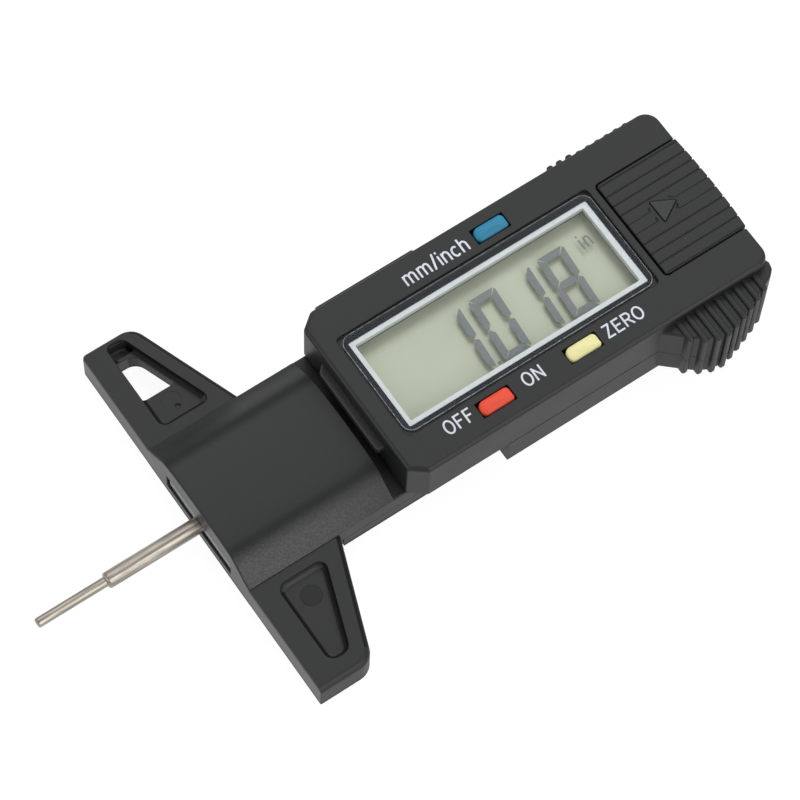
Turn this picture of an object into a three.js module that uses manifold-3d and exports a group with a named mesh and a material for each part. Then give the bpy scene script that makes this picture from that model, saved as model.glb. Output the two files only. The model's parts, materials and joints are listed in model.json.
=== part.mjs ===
// Digital tire tread gauge, lying on its back. Millimetres, +Z up out of the display.
// A moulded T-base spans the tread along Y. Its beam runs toward +X (the rear) into a display
// head, which slides on it and carries a stepped probe that leaves the measuring face toward -X.
// The head is fully forward and the probe is out. X counts from the measuring face; the whole
// gauge is then moved by -ORIGIN_X so that the origin is the centre of the footprint.
import * as THREE from "three";
import { mergeVertices } from "three/addons/utils/BufferGeometryUtils.js";
import Module from "manifold-3d";
const wasm = await Module();
wasm.setup();

// ---- shared dimensions ----
const ORIGIN_X = 29.85;
const PROBE_Z = 3.43; // height of the probe axis
const BEAM_HALF = 12.45, BEAM_TOP = 5.3;
const THICK_END = 41.1; // end of the thick part of the beam and of its back plate
const BACK_PLATE_T = 2.3, BACK_PLATE_GAP = 0.06;
const HEAD_X0 = 25.5, HEAD_X1 = 85.2, HEAD_HALF = 14.43, HEAD_TOP = 13.4;
const WALL = 1.6, COVER_IN = HEAD_TOP - WALL;
const PART_Z = 5.6, LOWER_TOP = PART_Z - 0.08; // parting plane, top of the lower shell
const BOARD_BOTTOM = 6.05, BOARD_TOP = 7.05;
const LENS_X0 = 28.5, LENS_X1 = 70.0, LENS_HALF = 8.43, LENS_SEAT = 12.7;
const DOOR_X0 = 71.65, DOOR_X1 = 85.6, DOOR_HALF = 8.35; // battery door
const CELL_X = 77.8;
const CLAMP_X = 47.5; // probe holder and its clamp screw
const CAP_L = 5.2, CAP_W = 2.28, SLOT_GAP = 0.12; // button caps and the gap around them
const BUTTONS = {
  unit: { at: [55.63, 11.16], color: 0x3287b0 },
  power: { at: [41.12, -10.9], color: 0xee503a },
  zero: { at: [55.62, -10.9], color: 0xf2eca5 },
};
const PLATE_SCREWS = [[19.5, 9], [19.5, -9], [37, 9], [37, -9]]; // x, y
// radii around the front and rear pairs of case screws
const FRONT_SCREW = { upperBoss: 1.65, lowerBoss: 1.65, headPocket: 1.35, head: 1.15 };
const REAR_SCREW = { upperBoss: 1.7, lowerBoss: 2.1, headPocket: 1.55, head: 1.35 };
const CASE_SCREWS = [
  { at: [47.5, 11.2], ...FRONT_SCREW },
  { at: [47.5, -11.2], ...FRONT_SCREW },
  { at: [81.4, 11.0], ...REAR_SCREW },
  { at: [81.4, -11.0], ...REAR_SCREW },
];

// ---- finishes ----
const STEEL = 0xb9b9b4;
const FINISH = {
  black: { color: 0x2b2c2e, roughness: 0.5 },
  backPlate: { color: 0x2b2c2e, roughness: 0.55 },
  screw: { color: STEEL, roughness: 0.35, metalness: 0.9 },
  crystal: { color: STEEL, roughness: 0.3, metalness: 0.9 },
  probe: { color: STEEL, roughness: 0.25, metalness: 1 },
  guide: { color: 0x8f969c, roughness: 0.4, metalness: 0.6 },
  scale: { color: 0x2f6b45, roughness: 0.5 },
  lens: { color: 0xdfe6e6, roughness: 0.05 },
  frame: { color: 0xcfd2d7, roughness: 0.4 },
  panel: { color: 0xb9c0aa, roughness: 0.25 },
  tray: { color: 0xe6e8ea, roughness: 0.5 },
  rubber: { color: 0x3a3a40, roughness: 0.8 },
  board: { color: 0x1f5a36, roughness: 0.5 },
  chip: { color: 0x101112, roughness: 0.35 },
  domeSwitch: { color: 0x4a4c50, roughness: 0.5 },
  brass: { color: 0xb08d4a, roughness: 0.35, metalness: 0.9 },
  spring: { color: 0xc9c9c4, roughness: 0.3, metalness: 1 },
  cell: { color: 0xc8c9c6, roughness: 0.25, metalness: 1 },
  contact: { color: 0xd8c27a, roughness: 0.3, metalness: 1 },
};

// ---- solids; a range is a [low, high] pair ----
const span = (half, centre = 0) => [centre - half, centre + half];
// range from near to far, on the +Y (side 1) or -Y (side -1) side
const sideSpan = (side, near, far) => (side > 0 ? [near, far] : [-far, -near]);
const flipY = (points) => points.map(([x, y]) => [x, -y]);
const mirrored = (points) => [...points, ...flipY(points).reverse()];
const vectors = (points) => points.map(([a, b]) => new THREE.Vector2(a, b));
const sum = (...solids) => solids.reduce((a, b) => a.add(b));
const cut = (body, ...tools) => tools.reduce((a, b) => a.subtract(b), body);

function solid(geometry) {
  geometry.deleteAttribute("normal");
  geometry.deleteAttribute("uv");
  const merged = mergeVertices(geometry, 1e-4);
  return new wasm.Manifold(new wasm.Mesh({
    numProp: 3,
    vertProperties: merged.attributes.position.array,
    triVerts: new Uint32Array(merged.index.array),
  }));
}
function box([x0, x1], [y0, y1], [z0, z1]) {
  const geometry = new THREE.BoxGeometry(x1 - x0, y1 - y0, z1 - z0);
  return solid(geometry.translate((x0 + x1) / 2, (y0 + y1) / 2, (z0 + z1) / 2));
}
function extrude(shape, [z0, z1], curveSegments) {
  const options = { depth: z1 - z0, bevelEnabled: false, curveSegments };
  return solid(new THREE.ExtrudeGeometry(shape, options).translate(0, 0, z0));
}
// X,Y outline pulled along Z
function prismZ(points, z) {
  const outline = vectors(points);
  if (THREE.ShapeUtils.area(outline) < 0) outline.reverse();
  return extrude(new THREE.Shape(outline), z);
}
// turns an upright solid so that its x, y, z become Y, Z, X
const Z_TO_X = [90, 0, 90];
// Y,Z outline pulled along X
const prismX = (points, x) => prismZ(points, x).rotate(Z_TO_X);
// X,Z outline pulled along Y
const prismY = (points, [y0, y1]) => prismZ(points, [-y1, -y0]).rotate([90, 0, 0]);
// box with rounded corners in plan
function pad([x0, x1], [y0, y1], z, r, curveSegments = 5) {
  const shape = new THREE.Shape();
  const centres = [[x1 - r, y0 + r], [x1 - r, y1 - r], [x0 + r, y1 - r], [x0 + r, y0 + r]];
  centres.forEach(([x, y], i) =>
    shape.absarc(x, y, r, ((i - 1) * Math.PI) / 2, (i * Math.PI) / 2, false));
  return extrude(shape, z, curveSegments);
}
function rodZ([x, y], r, [z0, z1], segments) {
  const geometry = new THREE.CylinderGeometry(r, r, z1 - z0, segments);
  return solid(geometry.rotateX(Math.PI / 2).translate(x, y, (z0 + z1) / 2));
}
function rodX([y, z], r, [x0, x1], segments) {
  const geometry = new THREE.CylinderGeometry(r, r, x1 - x0, segments);
  return solid(geometry.rotateZ(-Math.PI / 2).translate((x0 + x1) / 2, y, z));
}
// profile of [radius, height] turned about Y
const lathe = (profile, segments) => new THREE.LatheGeometry(vectors(profile), segments);
const latheZ = (profile, segments, [x, y, z]) =>
  solid(lathe(profile, segments).rotateX(Math.PI / 2).translate(x, y, z));
// screw with its head down, driven by one slot or a cross
function screw(at, { headR, headZ, shankR, shankZ, slotHalfL, slotHalfW, slotTop, cross = true }) {
  const [x, y] = at;
  const slot = (halfX, halfY) => box(span(halfX, x), span(halfY, y), [0, slotTop]);
  const slots = [slot(slotHalfL, slotHalfW)];
  if (cross) slots.push(slot(slotHalfW, slotHalfL));
  return cut(sum(rodZ(at, headR, headZ, 16), rodZ(at, shankR, shankZ, 12)), ...slots);
}

const gauge = new THREE.Group();
gauge.position.x = -ORIGIN_X;
function addPiece(name, body, finish) {
  const { vertProperties, triVerts } = body.getMesh();
  const geometry = new THREE.BufferGeometry();
  const positions = new Float32Array(vertProperties);
  geometry.setAttribute("position", new THREE.BufferAttribute(positions, 3));
  geometry.setIndex(new THREE.BufferAttribute(new Uint32Array(triVerts), 1));
  geometry.computeVertexNormals();
  const mesh = new THREE.Mesh(geometry, new THREE.MeshStandardMaterial(finish));
  mesh.name = name;
  gauge.add(mesh);
}

// ---- T-base: two wings, a humped bridge over the probe and a beam that runs into the head ----
const FOOT_HALF = 29.83; // half span
const WING_T = 5.0, WING_TIP_BACK = 8.35, WING_TAPER = 0.375; // taper: slope of the back edge
const HUMP_END = 23.7, HUMP_TOP = 8.9, SHOULDER = 5.55;
const TONGUE_HALF = 9.4, TONGUE_BOTTOM = 1.75, TONGUE_END = 79.0; // thin beam inside the head
const POCKET_Z = 3.9; // floor of the shallow dished pockets in the wings
const WING_ROOT_X = WING_TIP_BACK + WING_TAPER * (FOOT_HALF - BEAM_HALF);
// +Y wing: x, y
const WING = [
  [0, 0], [0, FOOT_HALF], [7.1, 29.45], [7.9, 29.15], [8.5, 28.65], [8.95, 27.9],
  [WING_ROOT_X, BEAM_HALF], [WING_ROOT_X, 0],
];
// +Y half of the bridge section, crown to shoulder: y, z
const FLANK = [
  [0, HUMP_TOP], [3, HUMP_TOP - 0.05], [5.8, 8.7], [7.4, 8.45], [8.6, 8.0], [9.6, 7.35],
  [10.7, 6.55], [11.6, 5.95], [BEAM_HALF, SHOULDER], [BEAM_HALF, 0],
];
// pocket in the +Y wing, with a pit at its narrow end and a through window for a lanyard: x, y
const PLUS_RIM = [
  [3.38, 28.05], [3.38, 15.5], [3.76, 14.6], [4.68, 14.22], [10.2, 14.22], [10.95, 14.75],
  [11.05, 15.6], [6.45, 27.7], [6.0, 28.5], [5.2, 28.95], [4.28, 28.95], [3.64, 28.7],
];
const PLUS_FLOOR = [
  [3.98, 28.0], [3.98, 15.6], [4.15, 15.1], [4.75, 14.82], [9.9, 14.82], [10.2, 15.1],
  [10.3, 15.6], [5.85, 27.5], [5.2, 28.35], [4.35, 28.35],
];
const PIT = [[3.5, 26.85], [6.6, 26.85], [6.1, 28.0], [5.4, 28.6], [4.0, 28.6], [3.5, 28.1]];
const LANYARD_WINDOW = [
  [3.4, 19.5], [8.75, 19.5], [6.8, 24.4], [6.3, 25.6], [5.6, 26.2], [3.4, 26.3],
];
// pocket in the -Y wing: x, y
const MINUS_RIM = [
  [3.35, -15.4], [3.35, -25.6], [3.75, -26.5], [4.6, -27.0], [5.5, -27.02], [6.5, -26.7],
  [7.1, -25.7], [10.7, -15.6], [10.6, -14.5], [9.6, -13.92], [4.85, -13.92], [3.8, -14.35],
];
const MINUS_FLOOR = [
  [3.95, -15.4], [3.95, -25.5], [4.2, -26.05], [4.75, -26.42], [5.4, -26.42], [6.0, -26.2],
  [6.5, -25.5], [10.05, -15.6], [10.0, -14.9], [9.6, -14.52], [4.9, -14.52], [4.2, -14.8],
];
// a pocket is dished in two steps
const dish = (rim, floor) =>
  [prismZ(rim, [POCKET_Z + 0.35, 6]), prismZ(floor, [POCKET_Z, 4.5])];

function tBase() {
  const bridgeSection = [...FLANK.map(([y, z]) => [-y, z]).reverse(), ...FLANK.slice(1)];
  const body = sum(
    prismZ(WING, [0, WING_T]),
    prismZ(flipY(WING), [0, WING_T]),
    prismX(bridgeSection, [0, HUMP_END]),
    box([HUMP_END - 0.5, THICK_END], span(BEAM_HALF), [0, BEAM_TOP]),
    box([THICK_END - 0.5, TONGUE_END], span(TONGUE_HALF), [TONGUE_BOTTOM, BEAM_TOP]),
  );
  const plateRoom = box([15.2, THICK_END], span(20), [-1, BACK_PLATE_T + BACK_PLATE_GAP]);
  const probeBore = rodX([0, PROBE_Z], 1.5, [1, 15.5], 20);
  const probeGroove = box([15.2, 44], span(1.6), [TONGUE_BOTTOM - 1, 4.8]);
  const holderSlot = box([43.5, 76.2], span(2.4), [1, 4.8]);
  const guideRoom = box([-1, 2.4], [-7.8, 7.95], [1.75, 4.85]);
  return cut(
    body, plateRoom, probeBore, probeGroove, holderSlot, guideRoom,
    ...dish(PLUS_RIM, PLUS_FLOOR),
    prismZ(PIT, [POCKET_Z - 1.4, 4.1]),
    prismZ(LANYARD_WINDOW, [-1, 4.1]),
    ...dish(MINUS_RIM, MINUS_FLOOR),
    ...PLATE_SCREWS.map((at) => rodZ(at, 0.8, [1, 4.6], 14)),
  );
}
function beamBackPlate() {
  const probeGroove = box([15, 42], span(1.5), [1.85, 3]);
  const screwHoles = PLATE_SCREWS.flatMap((at) =>
    [rodZ(at, 0.95, [-1, 3], 14), rodZ(at, 1.75, [-1, 1.0], 16)]);
  const plate = box([15.5, THICK_END], span(BEAM_HALF - 0.03), [0, BACK_PLATE_T]);
  return cut(plate, probeGroove, ...screwHoles);
}
// bushing plate that guides the probe, sunk behind the measuring face
function probeGuidePlate() {
  const plate = pad([-7.55, 7.7], [1.97, 4.63], [0.35, 2.25], 0.3).rotate(Z_TO_X);
  return cut(plate, rodX([0, PROBE_Z], 1.26, [0, 4], 20));
}
const PLATE_SCREW = {
  headR: 1.5, headZ: [0.25, 1.0], shankR: 0.72, shankZ: [0.9, 4.3],
  slotHalfL: 0.9, slotHalfW: 0.15, slotTop: 0.55,
};
addPiece("t_base", tBase(), FINISH.black);
addPiece("beam_back_plate", beamBackPlate(), FINISH.backPlate);
PLATE_SCREWS.forEach((at, i) =>
  addPiece(`plate_screw_${i + 1}`, screw(at, PLATE_SCREW), FINISH.screw));
addPiece("probe_guide_plate", probeGuidePlate(), FINISH.guide);
// scale board that the sensor in the head reads
const scaleStrip = box([26.6, 78.4], span(8.4), [BEAM_TOP, BEAM_TOP + 0.5]);
addPiece("scale_strip", scaleStrip, FINISH.scale);

// ---- head: outlines shared by both shells ----
const SHELF_Z = 11.35, RIB_TOP = 11.75; // tops of the side grips and of their ribs
const RIB_W = 0.8, GRIP_BOTTOM = 1.0;
// outlines: x, distance from the centre plane; ribs: centre x, reach from the centre plane
const FULL_GRIP = {
  side: -1,
  outline: [
    [66.3, 14.2], [69.35, 17.0], [71.0, 18.4], [72.6, 19.2], [74.25, 19.4], [75.9, 19.05],
    [77.5, 18.55], [80.75, 17.3], [82.6, 16.55], [84.5, 15.6], [85.3, 14.8], [85.55, 13.8],
  ],
  ribs: [
    [69.35, 17.75], [71.0, 19.0], [72.62, 19.75], [74.25, 19.95], [75.88, 19.5],
    [77.5, 19.0], [79.13, 18.4], [80.75, 17.8], [82.4, 17.1],
  ],
};
// low ribbed pad; a plain pad lies ahead of it
const LOW_GRIP = {
  side: 1,
  outline: [[66.7, 14.2], [67.2, 15.05], [72.2, 15.05], [72.7, 14.8], [82.3, 14.8], [82.9, 14.2]],
  ribs: Array.from({ length: 9 }, (_, i) => [68.7 + 1.594 * i, i < 3 ? 15.4 : 15.12]),
};
const PLAIN_PAD = [[29.0, 14.2], [29.25, 15.35], [45.4, 15.35], [46.0, 14.2]];

// head plan from x0 back, shrunk by an inset
function headPlan(inset) {
  const end = HEAD_X1 - inset, half = HEAD_HALF - inset;
  return mirrored([
    [HEAD_X0 + inset, 12.55 - inset * 0.55], [HEAD_X0 + 2.4 + inset * 0.45, half],
    [HEAD_X1 - 1.9 - inset * 0.3, half], [end - 0.9, half - 0.35],
    [end - 0.3, half - 0.95], [end, half - 1.9],
  ]);
}
// side outline closed by an edge buried in the wall
function sidePlan(outline, side) {
  const closed = [...outline, [outline.at(-1)[0] - 0.5, 12.95], [outline[0][0] + 0.1, 12.95]];
  return side > 0 ? closed : flipY(closed);
}
const grips = (z, ribZ) => [FULL_GRIP, LOW_GRIP].flatMap(({ side, outline, ribs }) => [
  prismZ(sidePlan(outline, side), z),
  ...ribs.map(([x, reach]) => box(span(RIB_W / 2, x), sideSpan(side, 13.9, reach), ribZ)),
]);
const buttonPad = ([x, y], length, width, z, r) =>
  pad(span(length / 2, x), span(width / 2, y), z, r, 4);

// ---- head: upper shell ----
function upperShell() {
  const cover = prismZ(headPlan(0), [PART_Z, HEAD_TOP]);
  const inside = prismZ(headPlan(WALL), [PART_Z - 1, COVER_IN]);
  // no wall below the sensor clearance where the beam passes
  const beamPassage = box([HEAD_X0 - 1, HEAD_X0 + 2.6], span(12.7), [PART_Z - 1, BOARD_BOTTOM]);
  const frontLedge = box([24.4, HEAD_X0 + 0.5], span(7.5), [9.15, 10.6]);
  const bosses = CASE_SCREWS.map(({ at, upperBoss }) =>
    rodZ(at, upperBoss, [PART_Z, COVER_IN + 0.4], 18));
  const bossHoles = CASE_SCREWS.map(({ at }) => rodZ(at, 0.8, [PART_Z - 1, 10.8], 12));
  const cellBlock = box([71.2, 84.0], span(8.35), [6.05, COVER_IN + 0.4]);
  const cellWell = [
    rodZ([CELL_X, 0], 6.1, [6.55, 14], 28),
    box([71.0, 73.5], span(1.3), [6.55, 7.6]), // passages for the two contacts
    box([71.0, 75], [3.3, 5.9], [6.9, COVER_IN]),
  ];
  const doorRoom = [
    pad([DOOR_X0 - 0.2, 87], span(DOOR_HALF + 0.2), [12.4, 14], 0.7, 4), // bed
    box([72.3, 87], span(9.15), [12.4, 13.0]), // side grooves
    box([84.0, 87], span(8.55), [6.3, 14]), // opening in the rear wall
  ];
  const lensX = [LENS_X0 - 0.28, LENS_X1 + 0.31];
  const lensY = [-LENS_HALF - 0.25, LENS_HALF + 0.49];
  const displayWindow = [
    pad(lensX, lensY, [LENS_SEAT, 14], 0.75, 4), // leaves a ledge for the lens
    pad([29.2, 69.6], [-7.65, 7.95], [11, 13], 0.35, 4),
  ];
  const buttonSlots = Object.values(BUTTONS).map(({ at }) =>
    buttonPad(at, CAP_L + 2 * SLOT_GAP, CAP_W + 2 * SLOT_GAP, [11, 14], 0.2));
  const walls = sum(
    cut(cover, inside, beamPassage),
    ...grips([PART_Z, SHELF_Z], [PART_Z, RIB_TOP]),
    prismZ(sidePlan(PLAIN_PAD, 1), [PART_Z, SHELF_Z]),
    frontLedge, ...bosses,
  );
  const body = sum(cut(walls, ...bossHoles), cellBlock);
  return cut(body, ...cellWell, ...doorRoom, ...displayWindow, ...buttonSlots);
}
addPiece("upper_shell", upperShell(), FINISH.black);

// ---- head: lower shell, with the rails that guide the beam ----
const REAR_X0 = 41.4; // the lower shell starts here
function lowerShell() {
  const tub = cut(
    prismZ(headPlan(0), [0, LOWER_TOP]),
    box([HEAD_X0 - 1, REAR_X0], span(20), [-1, 7]),
    prismZ(headPlan(WALL), [1.4, 7]),
  );
  const rails = [-1, 1].map((side) =>
    box([42.2, HEAD_X1 - 1], sideSpan(side, 9.6, 10.7), [1, LOWER_TOP]));
  const bosses = CASE_SCREWS.map(({ at, lowerBoss }) => rodZ(at, lowerBoss, [1, LOWER_TOP], 18));
  const gripZ = [GRIP_BOTTOM, LOWER_TOP];
  const caseScrewHoles = CASE_SCREWS.flatMap(({ at, headPocket }) =>
    [rodZ(at, 0.95, [-1, 7], 12), rodZ(at, headPocket, [-1, 1.5], 16)]);
  const clamp = [CLAMP_X, 0];
  const clampHole = [rodZ(clamp, 0.85, [-1, 2], 12), rodZ(clamp, 1.6, [-1, 0.9], 16)];
  const springRoom = box([54.9, 69.1], [-10.25, -9.5], [2, 7]);
  const body = sum(tub, ...grips(gripZ, gripZ), ...rails, ...bosses);
  return cut(body, ...caseScrewHoles, ...clampHole, springRoom);
}
addPiece("lower_shell", lowerShell(), FINISH.black);
CASE_SCREWS.forEach(({ at, head }, i) => {
  const body = screw(at, {
    headR: head, headZ: [0.3, 1.5], shankR: 0.72, shankZ: [1.4, 10.3],
    slotHalfL: 0.8, slotHalfW: 0.14, slotTop: 0.7,
  });
  addPiece(`case_screw_${i + 1}`, body, FINISH.screw);
});

// ---- display stack ----
const SUPPORT_Z = [BOARD_TOP, 9.6]; // between the board and the display panel
function lens() {
  const y = [-LENS_HALF + 0.04, LENS_HALF + 0.06];
  return pad([LENS_X0, LENS_X1], y, [LENS_SEAT + 0.02, 13.5], 1.6);
}
function displayFrame() {
  const opening = pad([30.26, 68.4], [-6.55, 6.86], [11, 13], 0.2, 3);
  return cut(pad([29.5, 69.38], [-7.37, 7.66], [11.85, 12.66], 0.4, 3), opening);
}
function displayTray() {
  const outer = box([28.6, 69.9], span(8.2), [BOARD_TOP, 11.75]);
  const walls = cut(outer, box([29.1, 69.4], span(7.7), [6, 12.5]));
  const endBlocks = [[28.9, 30.6], [67.9, 69.6]].map((x) => box(x, span(8), SUPPORT_Z));
  return sum(walls, ...endBlocks);
}
function circuitBoard() {
  const outline = mirrored([[27.9, 11.3], [29.3, 12.4], [70.5, 12.4]]);
  const notches = CASE_SCREWS.slice(0, 2).map(({ at }) => rodZ(at, 1.95, [5, 8], 18));
  return cut(prismZ(outline, [BOARD_BOTTOM, BOARD_TOP]), ...notches);
}
// radius, height
const CHIP_DOME = [[0, 0], [3, 0], [2.9, 0.35], [2.4, 0.7], [1.5, 0.95], [0, 1.05]];
addPiece("lens", lens(), FINISH.lens);
addPiece("display_frame", displayFrame(), FINISH.frame);
addPiece("display_panel", box([29.5, 69.0], span(7.35), [9.6, 11.3]), FINISH.panel);
addPiece("display_tray", displayTray(), FINISH.tray);
[1, -1].forEach((side, i) => {
  const rubber = box([31.5, 67], sideSpan(side, 5.6, 7.0), SUPPORT_Z);
  addPiece(`contact_rubber_${i + 1}`, rubber, FINISH.rubber);
});
addPiece("circuit_board", circuitBoard(), FINISH.board);
addPiece("chip_cap", latheZ(CHIP_DOME, 18, [57, 0, BOARD_TOP]), FINISH.chip);
addPiece("timing_crystal", rodX([2.2, 8.05], 1.0, [38, 44], 16), FINISH.crystal);

// ---- push buttons: cap through the shell, flange under it, stem over a dome switch ----
const button = (at) => sum(
  buttonPad(at, CAP_L, CAP_W, [10.9, 13.9], 0.8),
  buttonPad(at, CAP_L + 1, CAP_W + 0.9, [10.9, 11.45], 0.4),
  rodZ(at, 0.7, [10.4, 11], 14),
);
const domeSwitch = ([x, y]) => sum(
  box(span(1.6, x), span(1.3, y), [BOARD_TOP, 9.3]),
  rodZ([x, y], 0.8, [9.2, 9.9], 14),
);
for (const [key, { at, color }] of Object.entries(BUTTONS)) {
  addPiece(`button_${key}`, button(at), { color, roughness: 0.45 });
  addPiece(`switch_${key}`, domeSwitch(at), FINISH.domeSwitch);
}

// ---- probe, its holder and clamp screw ----
const PROBE_OUT = 25.86; // length out of the measuring face
const TIP_R = 0.73, ROD_R = 1.2, STEP_X = -14.9; // thin tip, thick rod, start of the step
const PROBE_END = 49.3;
// radius, x
const PROBE_PROFILE = [
  [0, -PROBE_OUT], [0.35, -25.82], [0.62, -25.65], [TIP_R, -25.35], [TIP_R, STEP_X],
  [ROD_R, STEP_X + 0.5], [ROD_R, PROBE_END - 0.3], [1.0, PROBE_END], [0, PROBE_END],
];
const depthProbe = () =>
  solid(lathe(PROBE_PROFILE, 24).rotateZ(-Math.PI / 2).translate(0, 0, PROBE_Z));
const probeHolder = () => cut(
  box(span(2.5, CLAMP_X), span(2.0), [1.4, 4.72]),
  rodX([0, PROBE_Z], 1.23, [44, 49.6], 24),
  rodZ([CLAMP_X, 0], 0.8, [1, 3], 12),
);
const CLAMP_SCREW = {
  headR: 1.4, headZ: [0.15, 0.85], shankR: 0.7, shankZ: [0.8, 2.15],
  slotHalfL: 1, slotHalfW: 0.15, slotTop: 0.45, cross: false,
};
addPiece("depth_probe", depthProbe(), FINISH.probe);
addPiece("probe_holder", probeHolder(), FINISH.brass);
addPiece("probe_clamp_screw", screw([CLAMP_X, 0], CLAMP_SCREW), FINISH.screw);

// ---- bowed leaf spring that takes up side play of the beam ----
const SPRING_T = 0.18;
const BOW = [[55.2, -10.15], [58.5, -9.78], [62, -9.65], [65.5, -9.78], [68.8, -10.15]]; // x, y
const springOutline = [...BOW, ...BOW.map(([x, y]) => [x, y + SPRING_T]).reverse()];
addPiece("leaf_spring", prismZ(springOutline, [2.2, 4.9]), FINISH.spring);

// ---- battery cell, contacts and sliding door ----
const CELL_R = 5.8, CELL_H = 5.36;
// radius, height
const CELL_PROFILE = [
  [0, 0], [CELL_R - 0.8, 0], [CELL_R - 0.3, 0.12], [CELL_R, 0.5], [CELL_R, 5.0],
  [CELL_R - 0.35, 5.1], [CELL_R - 0.9, CELL_H], [0, CELL_H],
];
// x, z
const NEGATIVE_STRIP = [
  [69.95, 7.05], [70.7, 7.05], [70.7, 6.6], [77.5, 6.6], [79.6, 6.82],
  [79.6, 6.96], [77.4, 6.75], [70.85, 6.75], [70.85, 7.2], [69.95, 7.2],
];
// x, y
const POSITIVE_BLADE = [
  [70.0, 5.43], [72.7, 5.43], [73.6, 4.25], [73.72, 4.35], [72.8, 5.58], [70.0, 5.58],
];
const positiveContact = () => sum(
  prismZ(POSITIVE_BLADE, [8.0, 10.6]),
  box([70.0, 70.45], [5.43, 5.58], [BOARD_TOP, 8.2]),
);
function batteryDoor() {
  const rearEdge = [
    [85.3, DOOR_HALF], [85.5, 5], [DOOR_X1, 0], [85.5, -5], [85.3, -DOOR_HALF],
  ];
  const topOutline = [
    [DOOR_X0, -DOOR_HALF + 0.5], [DOOR_X0, DOOR_HALF - 0.5], [DOOR_X0 + 0.5, DOOR_HALF],
    ...rearEdge, [DOOR_X0 + 0.5, -DOOR_HALF],
  ];
  const rearWall = [[84.2, -DOOR_HALF], [84.2, DOOR_HALF], ...rearEdge];
  const arrow = [[76.4, 2.0], [76.4, -1.6], [79.5, 0.2]];
  return sum(
    prismZ(topOutline, [12.46, HEAD_TOP]),
    prismZ(rearWall, [6.6, 12.6]),
    box([72.6, 84.9], span(8.95), [12.46, 12.93]), // runners in the side grooves
    prismZ(arrow, [13.2, 13.6]),
  );
}
addPiece("coin_cell", latheZ(CELL_PROFILE, 32, [CELL_X, 0, 7.0]), FINISH.cell);
addPiece("contact_negative", prismY(NEGATIVE_STRIP, span(1)), FINISH.contact);
addPiece("contact_positive", positiveContact(), FINISH.contact);
addPiece("battery_door", batteryDoor(), FINISH.black);

const part = new THREE.Group();
part.add(gauge);
export default part;
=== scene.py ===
"""Digital tyre tread gauge: shells, display, print and finishes built around its CAD frame.

Shapes are written in gauge millimetres: X counts from the measuring face towards the head, +Y is
the side of the mm/inch button, Z is up from the back plane. place() carries them into the frame.
"""

import json
import math
from functools import cached_property, reduce

import bmesh
import bpy
import numpy as np
from mathutils import Matrix, Vector

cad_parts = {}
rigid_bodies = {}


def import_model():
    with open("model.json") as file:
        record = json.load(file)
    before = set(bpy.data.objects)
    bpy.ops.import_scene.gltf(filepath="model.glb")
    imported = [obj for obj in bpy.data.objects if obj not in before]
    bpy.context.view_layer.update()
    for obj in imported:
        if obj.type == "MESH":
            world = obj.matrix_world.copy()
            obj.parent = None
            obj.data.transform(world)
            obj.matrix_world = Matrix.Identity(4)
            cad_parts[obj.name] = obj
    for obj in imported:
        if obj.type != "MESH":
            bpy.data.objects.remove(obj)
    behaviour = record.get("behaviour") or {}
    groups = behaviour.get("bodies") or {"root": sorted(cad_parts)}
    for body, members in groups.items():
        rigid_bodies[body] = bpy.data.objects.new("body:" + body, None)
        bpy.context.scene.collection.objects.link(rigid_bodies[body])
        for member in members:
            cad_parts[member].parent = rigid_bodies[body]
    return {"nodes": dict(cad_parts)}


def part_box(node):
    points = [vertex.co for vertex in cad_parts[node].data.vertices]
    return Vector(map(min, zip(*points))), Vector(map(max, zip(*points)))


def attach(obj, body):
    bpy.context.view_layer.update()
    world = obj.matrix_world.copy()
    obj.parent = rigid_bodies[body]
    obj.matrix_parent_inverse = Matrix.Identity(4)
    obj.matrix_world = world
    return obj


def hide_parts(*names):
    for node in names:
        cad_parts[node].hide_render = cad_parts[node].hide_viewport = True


for old in list(bpy.data.objects):
    bpy.data.objects.remove(old)
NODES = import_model()["nodes"]
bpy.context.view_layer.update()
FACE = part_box("t_base")[0].x  # the measuring face in the frame, in metres
MM = 0.001

# Pieces are built in a scratch collection and leave it when they are placed.
SCRATCH = bpy.data.collections.new("scratch")
bpy.context.scene.collection.children.link(SCRATCH)


def span(node):
    """x0, x1, y0, y1, z0, z1 of a CAD node in gauge millimetres."""
    low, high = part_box(node)
    return ((low.x - FACE) * 1e3, (high.x - FACE) * 1e3,
            low.y * 1e3, high.y * 1e3, low.z * 1e3, high.z * 1e3)


# ---------------------------------------------------------------------------------- outlines
def anticlockwise(points):
    x, y = points.T
    return (x * np.roll(y, -1) - np.roll(x, -1) * y).sum() > 0


def ccw(points):
    return points if anticlockwise(points) else points[::-1]


def left_normals(edges):
    return np.stack([-edges[:, 1], edges[:, 0]], 1) / np.linalg.norm(edges, axis=1)[:, None]


def unit(vector):
    return vector / np.linalg.norm(vector)


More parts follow.
